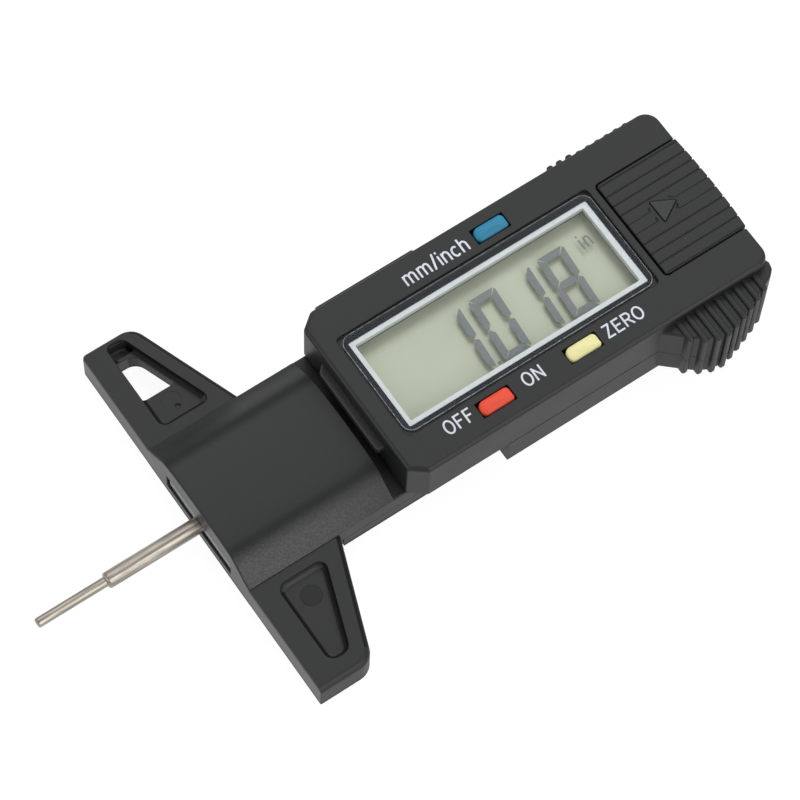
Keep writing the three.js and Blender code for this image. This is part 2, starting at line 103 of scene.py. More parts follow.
class Shape:
    """Closed outline given by its corners (x, y[, radius]). at(depth) is the parallel outline moved
    inwards: corner arcs shrink or grow with it and always keep their number of points, so that
    rings can be joined. shares scales the move of each edge."""

    def __init__(self, corners, segments=6, shares=None):
        self.points = np.array([c[:2] for c in corners], float)
        self.radii = np.array([c[2] if len(c) > 2 else 0.0 for c in corners], float)
        self.shares = np.array([1] * len(corners) if shares is None else shares, float)
        self.segments = segments  # per quarter turn
        if not anticlockwise(self.points):
            self.points, self.radii = self.points[::-1], self.radii[::-1]
            self.shares = np.roll(self.shares[::-1], -1)

    def at(self, depth=0.0):
        moved = inset(self.points, depth, self.shares)
        ring = []
        for i, radius in enumerate(self.radii):
            if radius <= 0:
                ring.append(moved[i])
                continue
            here = self.points[i]
            before, after = self.points[i - 1], self.points[(i + 1) % len(moved)]
            back, ahead = unit(before - here), unit(after - here)
            half = math.acos(float(back @ ahead)) / 2
            arrive, leave = here - before, after - here
            convex = arrive[0] * leave[1] - arrive[1] * leave[0] > 0
            shift = depth * (self.shares[i - 1] + self.shares[i]) / 2
            radius = max(radius - shift if convex else radius + shift, 0.004)
            centre = moved[i] + unit(back + ahead) * radius / math.sin(half)
            first = moved[i] + back * radius / math.tan(half)
            last = moved[i] + ahead * radius / math.tan(half)
            start = math.atan2(*(first - centre)[::-1])
            end = math.atan2(*(last - centre)[::-1])
            turn = (end - start + math.pi) % (2 * math.pi) - math.pi
            count = max(2, math.ceil((math.pi - 2 * half) / (math.pi / 2) * self.segments))
            for j in range(count + 1):
                angle = start + turn * j / count
                ring.append(centre + radius * np.array([math.cos(angle), math.sin(angle)]))
        return np.array(ring)


def inset(outline, depth, shares=None):
    """Moves a closed outline inwards (outwards when negative); shares scales each edge's move."""
    if isinstance(outline, Shape):
        return outline.at(depth)
    if abs(depth) < 1e-9:
        return outline.copy()
    before = left_normals(outline - np.roll(outline, 1, 0))
    after = left_normals(np.roll(outline, -1, 0) - outline)
    mitre = (before + after) / (1 + (before * after).sum(1))[:, None]
    own = np.ones(len(outline)) if shares is None else np.asarray(shares, float)
    previous = np.roll(own, 1)
    moved = outline + depth * ((previous + own) / 2)[:, None] * mitre
    cross = before[:, 0] * after[:, 1] - before[:, 1] * after[:, 0]
    # at a true corner between unlike shares, both edges are met exactly
    for i in np.nonzero((np.abs(cross) > 0.15) & (np.abs(previous - own) > 1e-6))[0]:
        shifts = np.array([previous[i], own[i]]) * depth
        moved[i] = outline[i] + np.linalg.solve(np.array([before[i], after[i]]), shifts)
    return moved


def rect(x0, x1, y0, y1, radius=0.0, segments=6):
    return Shape([(x0, y0, radius), (x1, y0, radius), (x1, y1, radius), (x0, y1, radius)], segments)


def circle(x, y, radius, count):
    angle = np.arange(count) * 2 * math.pi / count
    return np.stack([x + radius * np.cos(angle), y + radius * np.sin(angle)], 1)


def path_mitres(path):
    """Sideways direction at each point of an open path, lengthened at its bends."""
    normals = left_normals(np.diff(path, axis=0))
    bends = [(a + b) / max(1 + float(a @ b), 0.35) for a, b in zip(normals, normals[1:])]
    return np.array([normals[0], *bends, normals[-1]])


# ---------------------------------------------------------------------------------- solids
def make(verts, faces):
    """Puts a mesh in the scratch collection, with its faces turned outwards."""
    mesh = bpy.data.meshes.new("tmp")
    work = bmesh.new()
    points = [work.verts.new(v) for v in verts]
    for face in faces:
        work.faces.new([points[i] for i in face])
    bmesh.ops.recalc_face_normals(work, faces=work.faces[:])
    work.to_mesh(mesh)
    work.free()
    solid = bpy.data.objects.new("tmp", mesh)
    SCRATCH.objects.link(solid)
    return solid


def combine(base, operation, tools):
    """Changes base in place and uses up the tools."""
    for tool in tools:
        boolean = base.modifiers.new("b", "BOOLEAN")
        boolean.object, boolean.operation, boolean.solver = tool, operation, "MANIFOLD"
    bpy.context.view_layer.update()
    graph = bpy.context.evaluated_depsgraph_get()
    mesh = bpy.data.meshes.new_from_object(base.evaluated_get(graph))
    base.modifiers.clear()
    before, base.data = base.data, mesh
    bpy.data.meshes.remove(before)
    for tool in tools:
        mesh = tool.data
        bpy.data.objects.remove(tool)
        bpy.data.meshes.remove(mesh)
    return base


def union(base, *tools):
    return combine(base, "UNION", tools)


def cut(base, *tools):
    return combine(base, "DIFFERENCE", tools)


# plan point and height to a 3D point, by the axis along which an outline is pulled
AXES = {
    "z": lambda points, height: [(x, y, height) for x, y in points],
    "x": lambda points, height: [(height, y, z) for y, z in points],
}


def loft(rings, axis="z"):
    """Closed solid through rings [(outline, height), ...] of equal point counts."""
    verts, faces = [], []
    for outline, height in rings:
        points = outline.at() if isinstance(outline, Shape) else outline
        verts += AXES[axis](points, height)
    n = len(points)
    for k in range(len(rings) - 1):
        a, b = k * n, (k + 1) * n
        faces += [(a + i, a + (i + 1) % n, b + (i + 1) % n, b + i) for i in range(n)]
    faces.append(tuple(range(n))[::-1])
    faces.append(tuple((len(rings) - 1) * n + i for i in range(n)))
    return make(verts, faces)


def quarter(steps):
    return np.linspace(0, math.pi / 2, steps + 1)


def slab(outline, low, high, top=0.0, bottom=0.0, steps=4, shares=None, axis="z"):
    """Outline pulled along an axis; top and bottom are the edge radii at its two ends."""
    rings = []
    if bottom > 0:
        rings += [(inset(outline, bottom * (1 - math.sin(a)), shares),
                   low + bottom * (1 - math.cos(a))) for a in quarter(steps)]
    else:
        rings.append((outline, low))
    if top > 0:
        rings += [(inset(outline, top * (1 - math.cos(a)), shares),
                   high - top + top * math.sin(a)) for a in quarter(steps)]
    else:
        rings.append((outline, high))
    if top > 0 and bottom > 0 and abs((high - top) - (low + bottom)) < 1e-6:
        rings.pop(steps)  # the two roundings meet in one ring
    return loft(rings, axis)


def well(outline, floor, mouth, flare, steps):
    """Cutter for a pocket whose mouth is rounded outwards by flare."""
    rings = [(outline, floor)]
    rings += [(inset(outline, -flare * (1 - math.cos(a))), mouth - flare + flare * math.sin(a))
              for a in quarter(steps)]
    return loft(rings + [(inset(outline, -flare), mouth + 1.0)])


def box(x0, x1, y0, y1, z0, z1):
    return slab(rect(x0, x1, y0, y1), z0, z1)


def rod(x, y, radius, low, high, count=32, axis="z", bottom=0.0):
    return slab(circle(x, y, radius, count), low, high, bottom=bottom, steps=3, axis=axis)


def vgroove(path, width, depth, top):
    """Cutter that scores a V-shaped groove along a plan path in a face at height top."""
    path = np.array(path, float)
    over = 0.4  # reach above the face
    sides = path_mitres(path) * width / 2 * (1 + over / depth)
    verts, faces = [], []
    for point, side in zip(path, sides):
        verts += [(*(point + side), top + over), (*point, top - depth),
                  (*(point - side), top + over)]
    for a in range(0, 3 * len(path) - 3, 3):
        faces += [(a + i, a + (i + 1) % 3, a + 3 + (i + 1) % 3, a + 3 + i) for i in range(3)]
    faces += [(2, 1, 0), tuple(len(verts) - 3 + i for i in range(3))]
    return make(verts, faces)


def place(solid, name, body, finishes, replaces=None, sharp=30, rule=None, weighted=True):
    """finishes holds keys of LOOK; rule(centre, normal) picks one of them by number for each face.
    """
    mesh = solid.data
    work = bmesh.new()
    work.from_mesh(mesh)
    bmesh.ops.remove_doubles(work, verts=work.verts[:], dist=4e-4)
    bmesh.ops.dissolve_degenerate(work, edges=work.edges[:], dist=2e-4)
    bmesh.ops.recalc_face_normals(work, faces=work.faces[:])
    if rule:
        for face in work.faces:
            face.material_index = rule(face.calc_center_median(), face.normal)
    work.transform(Matrix.Translation((FACE, 0, 0)) @ Matrix.Diagonal((MM, MM, MM, 1)))
    work.to_mesh(mesh)
    work.free()
    mesh.name = solid.name = name
    SCRATCH.objects.unlink(solid)
    bpy.context.scene.collection.objects.link(solid)
    mesh.shade_smooth()
    mesh.set_sharp_from_angle(angle=math.radians(sharp))
    picks = [p.material_index for p in mesh.polygons]  # clearing the materials may reset them
    mesh.materials.clear()
    for key in finishes.split():
        mesh.materials.append(LOOK[key])
    mesh.polygons.foreach_set("material_index", picks if rule else [0] * len(picks))
    if weighted:
        normals = solid.modifiers.new("normals", "WEIGHTED_NORMAL")
        normals.keep_sharp, normals.weight, normals.mode = True, 60, "FACE_AREA"
    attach(solid, body)
    if replaces:
        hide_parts(replaces)


# ---------------------------------------------------------------------------------- node helpers
class Graph:
    """Builds a shader node tree. Inputs take a value, a colour or the output of another node."""

    def __init__(self, tree):
        self.tree = tree

    def node(self, kind, inputs=None, **settings):
        """A node with its settings and inputs; inputs given as None keep their default."""
        made = self.tree.nodes.new("ShaderNode" + kind)
        for key, value in settings.items():
            setattr(made, key, value)
        for key, value in (inputs or {}).items():
            if value is None:
                continue
            socket = made.inputs[key]
            if isinstance(value, bpy.types.NodeSocket):
                self.tree.links.new(value, socket)
            elif socket.type == "RGBA" and len(value) == 3:
                socket.default_value = (*value, 1)
            else:
                socket.default_value = value
        return made

    def vector(self, operation, first, second=None, scale=None):
        inputs = {0: first, 1: second, "Scale": scale}
        made = self.node("VectorMath", inputs, operation=operation)
        return made.outputs["Value" if operation == "DOT_PRODUCT" else 0]

    def calc(self, operation, first, second=0.0, clamp=False):
        inputs = {0: first, 1: second}
        return self.node("Math", inputs, operation=operation, use_clamp=clamp).outputs[0]

    def times(self, first, second):
        return self.calc("MULTIPLY", first, second)

    def ramp(self, value, over, to=(0, 1), **settings):
        """Maps the range over onto the range to."""
        inputs = {0: value, 1: over[0], 2: over[1], 3: to[0], 4: to[1]}
        return self.node("MapRange", inputs, **settings).outputs[0]

    def mix(self, amount, first, second):
        return self.node("Mix", {0: amount, 6: first, 7: second}, data_type="RGBA").outputs[2]

    def shader(self, kind, **inputs):
        return self.node(kind, {k.replace("_", " "): v for k, v in inputs.items()}).outputs[0]

    def blend(self, amount, first, second):
        return self.node("MixShader", {0: amount, 1: first, 2: second}).outputs[0]


class Finish(Graph):
    """A material whose textures are in frame millimetres, so that grain has a true size."""

    def __init__(self, name):
        self.material = bpy.data.materials.new(name)
        self.material.use_nodes = True
        super().__init__(self.material.node_tree)
        self.tree.nodes.clear()
        self.output = self.node("OutputMaterial")

    @cached_property
    def mm(self):
        return self.vector("SCALE", self.node("TexCoord").outputs["Object"], scale=1000.0)

    def xyz(self):
        return self.node("SeparateXYZ", {0: self.mm}).outputs

    def noise(self, scale, detail=2.0, rough=0.5, along=None, stretch=None):
        where = along or self.mm
        if stretch:
            where = self.vector("MULTIPLY", where, stretch)
        inputs = {"Vector": where, "Scale": scale, "Detail": detail, "Roughness": rough}
        return self.node("TexNoise", inputs).outputs["Fac"]

    def cells(self, scale, feature="F1"):
        inputs = {"Vector": self.mm, "Scale": scale}
        return self.node("TexVoronoi", inputs, feature=feature).outputs

    def bump(self, height, depth, strength=1.0, normal=None):
        """depth is in millimetres."""
        inputs = {"Height": height, "Distance": depth * MM, "Strength": strength, "Normal": normal}
        return self.node("Bump", inputs).outputs[0]

    def edge_normal(self, radius):
        """Normal that rounds the edges by a radius in millimetres."""
        return self.node("Bevel", {"Radius": radius * MM}, samples=4).outputs[0]

    def edge_near(self, rounded):
        """0 on flats, 1 on edges."""
        flat = self.node("NewGeometry").outputs["Normal"]
        return self.ramp(self.vector("DOT_PRODUCT", rounded, flat), over=(0.995, 0.80))

    def surface(self, shader):
        self.tree.links.new(shader, self.output.inputs["Surface"])
        return self.material

    def principled(self, **inputs):
        return self.surface(self.shader("BsdfPrincipled", **inputs))


# ---------------------------------------------------------------------------------- finishes
def moulded(name, base, rough, coarse=0.0, wear=0.5, dust=True, ior=1.5, painted_flank_light=0.0):
    """Injection-moulded plastic: satin, finely spark-eroded, a little lighter on worn edges.

    coarse is the depth of a second, pebbled grain; the last argument is painted light, paling the
    -Y flank by that much.
    """
    mat = Finish(name)
    blotch = mat.noise(scale=0.16, detail=3.0, rough=0.6)
    fine = mat.noise(scale=5.5, rough=0.6)
    medium = mat.noise(scale=2.6, detail=1.0)
    rounded = mat.edge_normal(radius=0.12)
    near = mat.edge_near(rounded)
    rub = mat.noise(scale=0.9, detail=3.0, rough=0.65)
    worn = mat.times(near, mat.ramp(rub, over=(0.42, 0.68), to=(0.15, 1.0)))
    worn = mat.times(worn, wear)
    colour = mat.mix(mat.ramp(blotch, over=(0.3, 0.7)), base * 0.9, base * 1.1)
    grain = mat.times(mat.ramp(fine, over=(0.55, 0.75)), 0.35)
    colour = mat.mix(grain, colour, base * 1.9 + 0.004)
    colour = mat.mix(worn, colour, base * 2.4 + 0.012)
    if dust:  # small pale dots in a few of the cells
        cell = mat.cells(scale=0.42)
        dot = mat.ramp(cell["Distance"], over=(0.030, 0.018))
        pick = mat.node("SeparateColor", {0: cell["Color"]}).outputs[0]
        dot = mat.times(dot, mat.ramp(pick, over=(0.86, 0.88)))
        colour = mat.mix(mat.times(dot, 0.55), colour, (0.42, 0.43, 0.42))
    height = mat.calc("ADD", mat.times(fine, 1.0), mat.times(medium, 0.8))
    normal = mat.bump(height, depth=0.0022, normal=rounded)
    strength = 1.0
    if painted_flank_light:  # rougher down the -Y flank and towards the measuring face, and paler there as painted light
        x, y, _ = mat.xyz()
        strength = mat.times(mat.ramp(y, over=(-7.7, -10.2)),
                             mat.ramp(x, over=(-29.85, -6.0), to=(1.0, 0.35)))
        speck = mat.noise(scale=3.2, rough=0.7)
        speck = mat.ramp(speck, over=(0.42, 0.62), to=(0.55, 1.35))
        pale = mat.calc("MULTIPLY", strength, speck, clamp=True)
        colour = mat.mix(pale, colour, base + painted_flank_light)
    if coarse:
        pebble = mat.cells(scale=3.4, feature="SMOOTH_F1")["Distance"]
        pebble = mat.calc("ADD", pebble, mat.times(mat.noise(scale=4.2, rough=0.6), 1.1))
        normal = mat.bump(pebble, coarse, strength, normal)
    roughness = mat.ramp(blotch, over=(0.25, 0.75), to=(rough - 0.035, rough + 0.035))
    roughness = mat.calc("SUBTRACT", roughness, mat.times(worn, 0.08))
    skin = {}
    if painted_flank_light:  # painted shade: less reflection along the two shoulders of the hump
        across = mat.calc("ABSOLUTE", y)
        band = mat.times(mat.ramp(across, over=(6.7, 7.9)), mat.ramp(across, over=(9.9, 8.3)))
        skin["Specular_IOR_Level"] = mat.calc("SUBTRACT", 0.5, mat.times(band, 0.24))
    return mat.principled(Base_Color=colour, Roughness=roughness, Normal=normal, IOR=ior, **skin)


def metal(name, base, rough, streak=None, tone=0.12):
    """Turned, ground or plated metal; streak stretches its brushing along an axis."""
    mat = Finish(name)
    base = np.array(base)
    rounded = mat.edge_normal(radius=0.05)
    fine = mat.noise(scale=9.0, rough=0.6, stretch=streak or (1, 1, 1))
    broad = mat.noise(scale=0.5, detail=3.0, rough=0.6, stretch=streak and tuple(np.sqrt(streak)))
    colour = mat.mix(mat.ramp(fine, over=(0.35, 0.65)),
                     base * (1 - tone), np.minimum(base * (1 + tone), 1))
    roughness = mat.calc("ADD", mat.ramp(fine, over=(0.3, 0.7), to=(rough - 0.05, rough + 0.07)),
                         mat.times(mat.ramp(broad, over=(0.4, 0.7)), 0.06))
    normal = mat.bump(fine, depth=0.0012, normal=rounded)
    return mat.principled(Base_Color=colour, Metallic=1.0, Roughness=roughness, Normal=normal)


def printed(name, base):
    """Ink on the back of a clear sheet: flat, slightly uneven in cover, no skin of its own."""
    mat = Finish(name)
    base = np.array(base)
    cover = mat.noise(scale=0.35, detail=3.0, rough=0.6)
    colour = mat.mix(mat.ramp(cover, over=(0.3, 0.7)), base * 0.8, base * 1.3)
    roughness = mat.ramp(cover, over=(0.3, 0.7), to=(0.5, 0.65))
    return mat.principled(Base_Color=colour, Roughness=roughness, Specular_IOR_Level=0.02)


def drawn_steel(name):
    """Nickel-plated drawn rod: lines running along X, darker bands around it, light wear."""
    mat = Finish(name)
    rounded = mat.edge_normal(radius=0.05)
    near = mat.edge_near(rounded)
    x, y, z = mat.xyz()
    angle = mat.calc("ARCTAN2", mat.calc("SUBTRACT", z, PROBE_Z), y)
    wrap = mat.node("CombineXYZ", {0: mat.times(x, 0.035), 1: mat.times(angle, 1.0)}).outputs[0]
    lines = mat.noise(scale=3.2, detail=3.0, rough=0.65, along=wrap)
    hair = mat.noise(scale=16.0, rough=0.6, along=wrap)
    mottled = mat.noise(scale=0.8, detail=3.0, rough=0.6)
    colour = mat.mix(mat.ramp(lines, over=(0.36, 0.62)), (0.30, 0.265, 0.225), (0.60, 0.555, 0.49))
    dark = mat.times(mat.ramp(hair, over=(0.5, 0.72)), 0.45)
    colour = mat.mix(dark, colour, (0.20, 0.18, 0.155))
    stain = mat.times(mat.ramp(mottled, over=(0.5, 0.75)), 0.35)
    colour = mat.mix(stain, colour, (0.40, 0.35, 0.29))
    colour = mat.mix(mat.times(near, 0.6), colour, (0.72, 0.68, 0.62))
    return mat.principled(Base_Color=colour, Metallic=1.0, Anisotropic=0.4,
                          Roughness=mat.ramp(hair, over=(0.3, 0.7), to=(0.22, 0.34)),
                          Normal=mat.bump(hair, depth=0.004, normal=rounded))


def paint(name, base, rough, tone=0.06, grain=0.001, edge=0.05):
    """Coloured plastic, print or resin with a faint surface and tone variation."""
    mat = Finish(name)
    base = np.array(base)
    rounded = mat.edge_normal(edge)
    near = mat.edge_near(rounded)
    broad, fine = mat.noise(scale=0.6, detail=3.0, rough=0.6), mat.noise(scale=6.0, rough=0.55)
    colour = mat.mix(mat.ramp(broad, over=(0.3, 0.7)),
                     base * (1 - tone), np.minimum(base * (1 + tone), 1))
    colour = mat.mix(mat.times(near, 0.25), colour, np.minimum(base * 1.2 + 0.03, 1))
    roughness = mat.ramp(broad, over=(0.3, 0.7), to=(rough - 0.04, rough + 0.04))
    normal = mat.bump(fine, grain, normal=rounded)
    return mat.principled(Base_Color=colour, Roughness=roughness, Normal=normal)


def button_plastic(name, base, tone):
    return paint(name, base, 0.42, tone, grain=0.0022, edge=0.1)


def clear_sheet(name, tint, rough, highlight_amount=0.0):
    """Clear acrylic: tinted see-through body with a mirror-like skin; a painted highlight, a pale
    mottled diffuse layer, can be mixed in for edges.
    """
    mat = Finish(name)
    haze = mat.noise(scale=0.25, detail=3.0, rough=0.6)
    normal = mat.bump(mat.noise(scale=0.22), depth=0.004)
    fresnel = mat.shader("Fresnel", IOR=1.45, Normal=normal)
    gloss = mat.shader("BsdfGlossy", Color=(1.0, 1.0, 1.0), Normal=normal,
                       Roughness=mat.ramp(haze, over=(0.3, 0.7), to=(rough, rough + 0.05)))
    through = mat.shader("BsdfTransparent", Color=tint)
    # the skin only mirrors from outside
    inside = mat.node("NewGeometry").outputs["Backfacing"]
    mirror = mat.times(fresnel, mat.ramp(inside, over=(0.0, 1.0), to=(0.35, 0.0)))
    sheet = mat.blend(mirror, through, gloss)
    # painted highlight: a pale mottled diffuse layer mixed in along the edge
    if highlight_amount:
        cloud = mat.ramp(mat.noise(scale=1.4, detail=3.0, rough=0.7), over=(0.35, 0.7))
        highlight_tone = mat.mix(cloud, (0.18, 0.19, 0.20), (0.75, 0.77, 0.78))
        sheet = mat.blend(highlight_amount, sheet, mat.shader("BsdfDiffuse", Color=highlight_tone))
    return mat.surface(sheet)


def display_glass(name):
    """Grey-green reflective display film: faint pearly mottling under a smooth polariser."""
    mat = Finish(name)
    broad, fine = mat.noise(scale=0.09), mat.noise(scale=7.0, rough=0.6)
    colour = mat.mix(mat.ramp(broad, over=(0.3, 0.7)), (0.460, 0.480, 0.390), (0.490, 0.512, 0.412))
    pearl = mat.times(mat.ramp(fine, over=(0.4, 0.7)), 0.12)
    colour = mat.mix(pearl, colour, (0.39, 0.41, 0.335))
    return mat.principled(Base_Color=colour, Roughness=0.5, Normal=mat.bump(fine, depth=0.002),
                          Specular_IOR_Level=0.25)


def display_ink(name):
    """Switched-on display segments: a dark translucent grey film."""
    mat = Finish(name)
    cover = mat.ramp(mat.noise(scale=3.0), over=(0.3, 0.7))
    colour = mat.mix(cover, (0.205, 0.221, 0.228), (0.230, 0.246, 0.252))
    film = mat.shader("BsdfPrincipled", Base_Color=colour, Roughness=0.5, Specular_IOR_Level=0.2)
    opacity = 0.80
    return mat.surface(mat.blend(opacity, mat.shader("BsdfTransparent"), film))


def board(name, mask, copper, pitch=None):
    """Solder-masked circuit board; pitch adds the buried comb of pads of a measuring scale."""
    mat = Finish(name)
    x, y, _ = mat.xyz()
    weave = mat.noise(scale=1.8, rough=0.6, stretch=(1, 3, 1))
    if pitch:
        tooth = mat.calc("PINGPONG", x, pitch / 2)
        line = mat.ramp(tooth, over=(pitch * 0.20, pitch * 0.22))
        trace = mat.times(line, mat.ramp(mat.calc("ABSOLUTE", y), over=(6.9, 6.8)))
    else:  # wandering traces along X
        wander = mat.times(mat.noise(scale=0.25, detail=0.0), 4.0)
        tooth = mat.calc("PINGPONG", mat.calc("ADD", y, wander), 0.45)
        trace = mat.ramp(tooth, over=(0.20, 0.24))
    colour = mat.mix(mat.times(trace, 0.8), mask, copper)
    shade = mat.times(mat.ramp(weave, over=(0.4, 0.7)), 0.25)
    colour = mat.mix(shade, colour, np.array(mask) * 0.6)
    rounded = mat.edge_normal(radius=0.05)
    near = mat.edge_near(rounded)
    colour = mat.mix(mat.times(near, 0.5), colour, (0.30, 0.27, 0.16))
    height = mat.calc("ADD", mat.times(trace, 1.0), mat.times(weave, 0.2))
    return mat.principled(Base_Color=colour,
                          Roughness=mat.ramp(weave, over=(0.3, 0.7), to=(0.28, 0.38)),
                          Normal=mat.bump(height, depth=0.02, normal=rounded))


PROBE_Z = 3.43  # height of the probe's centre line
BLACK = np.array((0.0125, 0.0130, 0.0138))
LOOK = {
    "black": moulded("black_satin", BLACK, rough=0.43),
    "black_coarse": moulded("black_spark_texture", BLACK + 0.016, rough=0.50, coarse=0.030,
                            wear=0.35),
    "black_disc": moulded("black_ejector_mark", BLACK * 0.7, rough=0.50, dust=False, wear=0.1,
                          ior=1.465),
    # painted shade: the walls of the hollows are darker and less reflective than the black
    "black_wall": moulded("black_pocket_wall_painted_shade", BLACK * 0.55, rough=0.5, dust=False, wear=0.3,
                          ior=1.31),
    # painted light: the measuring face is brighter and more reflective than the black
    "black_face": moulded("black_measuring_face_painted_light", BLACK * 1.8, rough=0.34, ior=1.62, wear=0.6),
    # painted light: the -Y flank is paled; the shoulders get painted shade
    "black_flank": moulded("black_flank_texture_painted_light", BLACK, rough=0.44, coarse=0.036, wear=0.35,
                           painted_flank_light=0.046),
    "black_inner": moulded("black_inner", BLACK * 0.9, rough=0.5, dust=False, wear=0.2),
    "probe": drawn_steel("probe_steel"),
    "steel": metal("screw_steel", (0.56, 0.56, 0.55), rough=0.3),
    "spring": metal("spring_steel", (0.60, 0.60, 0.58), rough=0.26, streak=(0.1, 1, 1)),
    "cell": metal("cell_steel", (0.66, 0.66, 0.65), rough=0.24, streak=(0.35, 1, 1)),
    "brass": metal("holder_brass", (0.66, 0.47, 0.21), rough=0.3),
    "gold": metal("contact_brass", (0.78, 0.60, 0.28), rough=0.26),
    "can": metal("can_metal", (0.60, 0.61, 0.62), rough=0.25),
    "guide": metal("guide_metal", (0.42, 0.44, 0.46), rough=0.45, streak=(1, 0.08, 1), tone=0.2),
    "white": paint("white_plastic", (0.72, 0.74, 0.76), rough=0.45),
    "print": paint("white_print", (0.56, 0.60, 0.66), rough=0.55, tone=0.10, grain=0.004),
    "rim": paint("display_rim", (0.63, 0.65, 0.67), rough=0.5, tone=0.04),
    "border": printed("black_border_print", (0.0235, 0.0270, 0.0320)),
    "rubber": paint("contact_rubber", (0.02, 0.02, 0.022), rough=0.7, tone=0.15, grain=0.004),
    "epoxy": paint("chip_epoxy", (0.008, 0.008, 0.009), rough=0.3, tone=0.2, grain=0.004),
    "switch": paint("switch_body", (0.055, 0.058, 0.062), rough=0.5),
    "blue": button_plastic("button_blue", (0.016, 0.185, 0.315), tone=0.05),
    "red": button_plastic("button_red", (0.68, 0.062, 0.026), tone=0.05),
    "yellow": button_plastic("button_yellow", (0.72, 0.675, 0.335), tone=0.04),
    "lens": clear_sheet("clear_lens", (0.965, 0.975, 0.97), rough=0.02),
    # painted highlight along the lens's rounded top edge
    "lens_edge": clear_sheet("clear_lens_edge_painted_highlight", (0.62, 0.64, 0.66), rough=0.10, highlight_amount=0.5),
    "glass": display_glass("display_glass"),
    "ink": display_ink("display_ink"),
    "scale": board("scale_board", (0.012, 0.075, 0.035), (0.05, 0.16, 0.06), pitch=2.54),
    "board": board("board_green", (0.010, 0.085, 0.032), (0.04, 0.17, 0.06)),
}

# ---------------------------------------------------------------------------------- T-base
FOOT_HALF = span("t_base")[3]  # half the length of the measuring foot, along Y
WING_T = 5.0
WING_BACK, WING_TAPER = 8.35, 0.375  # depth of a wing at its end, and its growth per mm inwards
BEAM_HALF, BEAM_TOP = 12.45, 5.3
HUMP_END, THICK_END, BEAM_END = 23.7, 41.1, 79.0  # where the beam's sections end
# right half of the hump's cross section: y, z
HUMP_HALF = [(0, 8.9), (3, 8.85), (5.8, 8.66), (7.4, 8.4), (8.6, 7.93), (9.6, 7.22),
             (10.7, 6.35), (11.6, 5.7), (BEAM_HALF, 5.2)]
# hollows in the wings: x, y, corner radius
PLUS_HOLLOW = [(3.38, 14.22, 1.3), (11.62, 14.22, 1.0), (6.15, 28.95, 1.5), (3.38, 28.95, 0.9)]
MINUS_HOLLOW = [(3.35, -13.92, 1.5), (11.3, -13.92, 1.25), (6.62, -27.02, 1.6),
                (3.35, -27.02, 1.5)]
PIT = [(3.42, 26.75, 0.4), (7.0, 26.75, 0.2), (6.15, 28.7, 1.1), (3.42, 28.7, 0.7)]
LANYARD_WINDOW = [(3.36, 19.47, 0.15), (8.82, 19.47, 0.3), (6.25, 26.3, 1.7), (3.36, 26.3, 0.25)]


def smooth_curve(points, steps):
    """Cubic through points, flat at the first one."""
    points = np.array(points, float)
    slopes = np.zeros_like(points)
    slopes[1:-1] = (points[2:] - points[:-2]) / 2
    slopes[0] = (points[1] - points[0]) * np.array([1, 0])
    slopes[-1] = points[-1] - points[-2]
    curve = []
    for i in range(len(points) - 1):
        for t in (k / steps for k in range(steps)):
            curve.append((2 * t**3 - 3 * t**2 + 1) * points[i] + (t**3 - 2 * t**2 + t) * slopes[i]
                         + (-2 * t**3 + 3 * t**2) * points[i + 1] + (t**3 - t**2) * slopes[i + 1])
    return np.array(curve + [points[-1]])


def base_foot():
    """The cross bar; its measuring edge stays nearly sharp, the other top edges roll over."""
    root_x = WING_BACK + WING_TAPER * (FOOT_HALF - BEAM_HALF)
    plan = Shape([(0, -FOOT_HALF, 0.2), (WING_BACK, -FOOT_HALF, 2.8), (root_x, -BEAM_HALF),
                  (root_x, BEAM_HALF), (WING_BACK, FOOT_HALF, 2.8), (0, FOOT_HALF, 0.85)],
                 8, shares=[1, 1, 1, 1, 1, 0.14])
    return slab(plan, 0, WING_T, top=1.0, bottom=0.2, steps=6)


def base_hump():
    half = smooth_curve(HUMP_HALF, 5)
    section = ccw(np.array([(-y, z) for y, z in half[::-1]] + [(y, z) for y, z in half[1:]]
                           + [(BEAM_HALF, 0.0), (-BEAM_HALF, 0.0)]))
    # only the curved top draws in at the rounded ends, not the sides and the bottom
    shares = np.where(section[:, 1] + np.roll(section, -1, 0)[:, 1] < 6.2, 0.0, 1.0)
    return slab(section, 0.0, HUMP_END, top=0.12, bottom=0.28, shares=shares, axis="x")


def base_finish(centre, normal):
    plain, coarse, disc, flank, face, wall = range(6)
    x, y, z = centre
    in_hollow = 3.2 < x < 12 and (13.8 < y < 29 or -27.2 < y < -13.8)
    facing = in_hollow and z < 4.99 and normal.y < -0.3 and abs(normal.x) < 0.75
    side = 3.91 < z < 4.98 and 14.5 < y < 19.6 and 8 < x < 12 and normal.x < -0.3
    # the measuring face takes the painted light finish
    if x < 0.02 and normal.x < -0.9:
        return face
    # the hump's crown and flanks: painted light on the -Y flank, painted shade on the shoulders
    if abs(normal.x) < 0.3 and abs(y) < 12.52 and z > 5.05 and 0.2 < x < HUMP_END:
        return flank
    if side or (facing and (y < 0 or y > 26.4)):
        return coarse
    # walls of the hollows take the painted shade finish
    if in_hollow and z < 4.97 and normal.z < 0.93:
        return wall
    return disc if 3.93 < z < 4.0 and (x - 6.9) ** 2 + (y + 17.3) ** 2 < 1.6 else plain


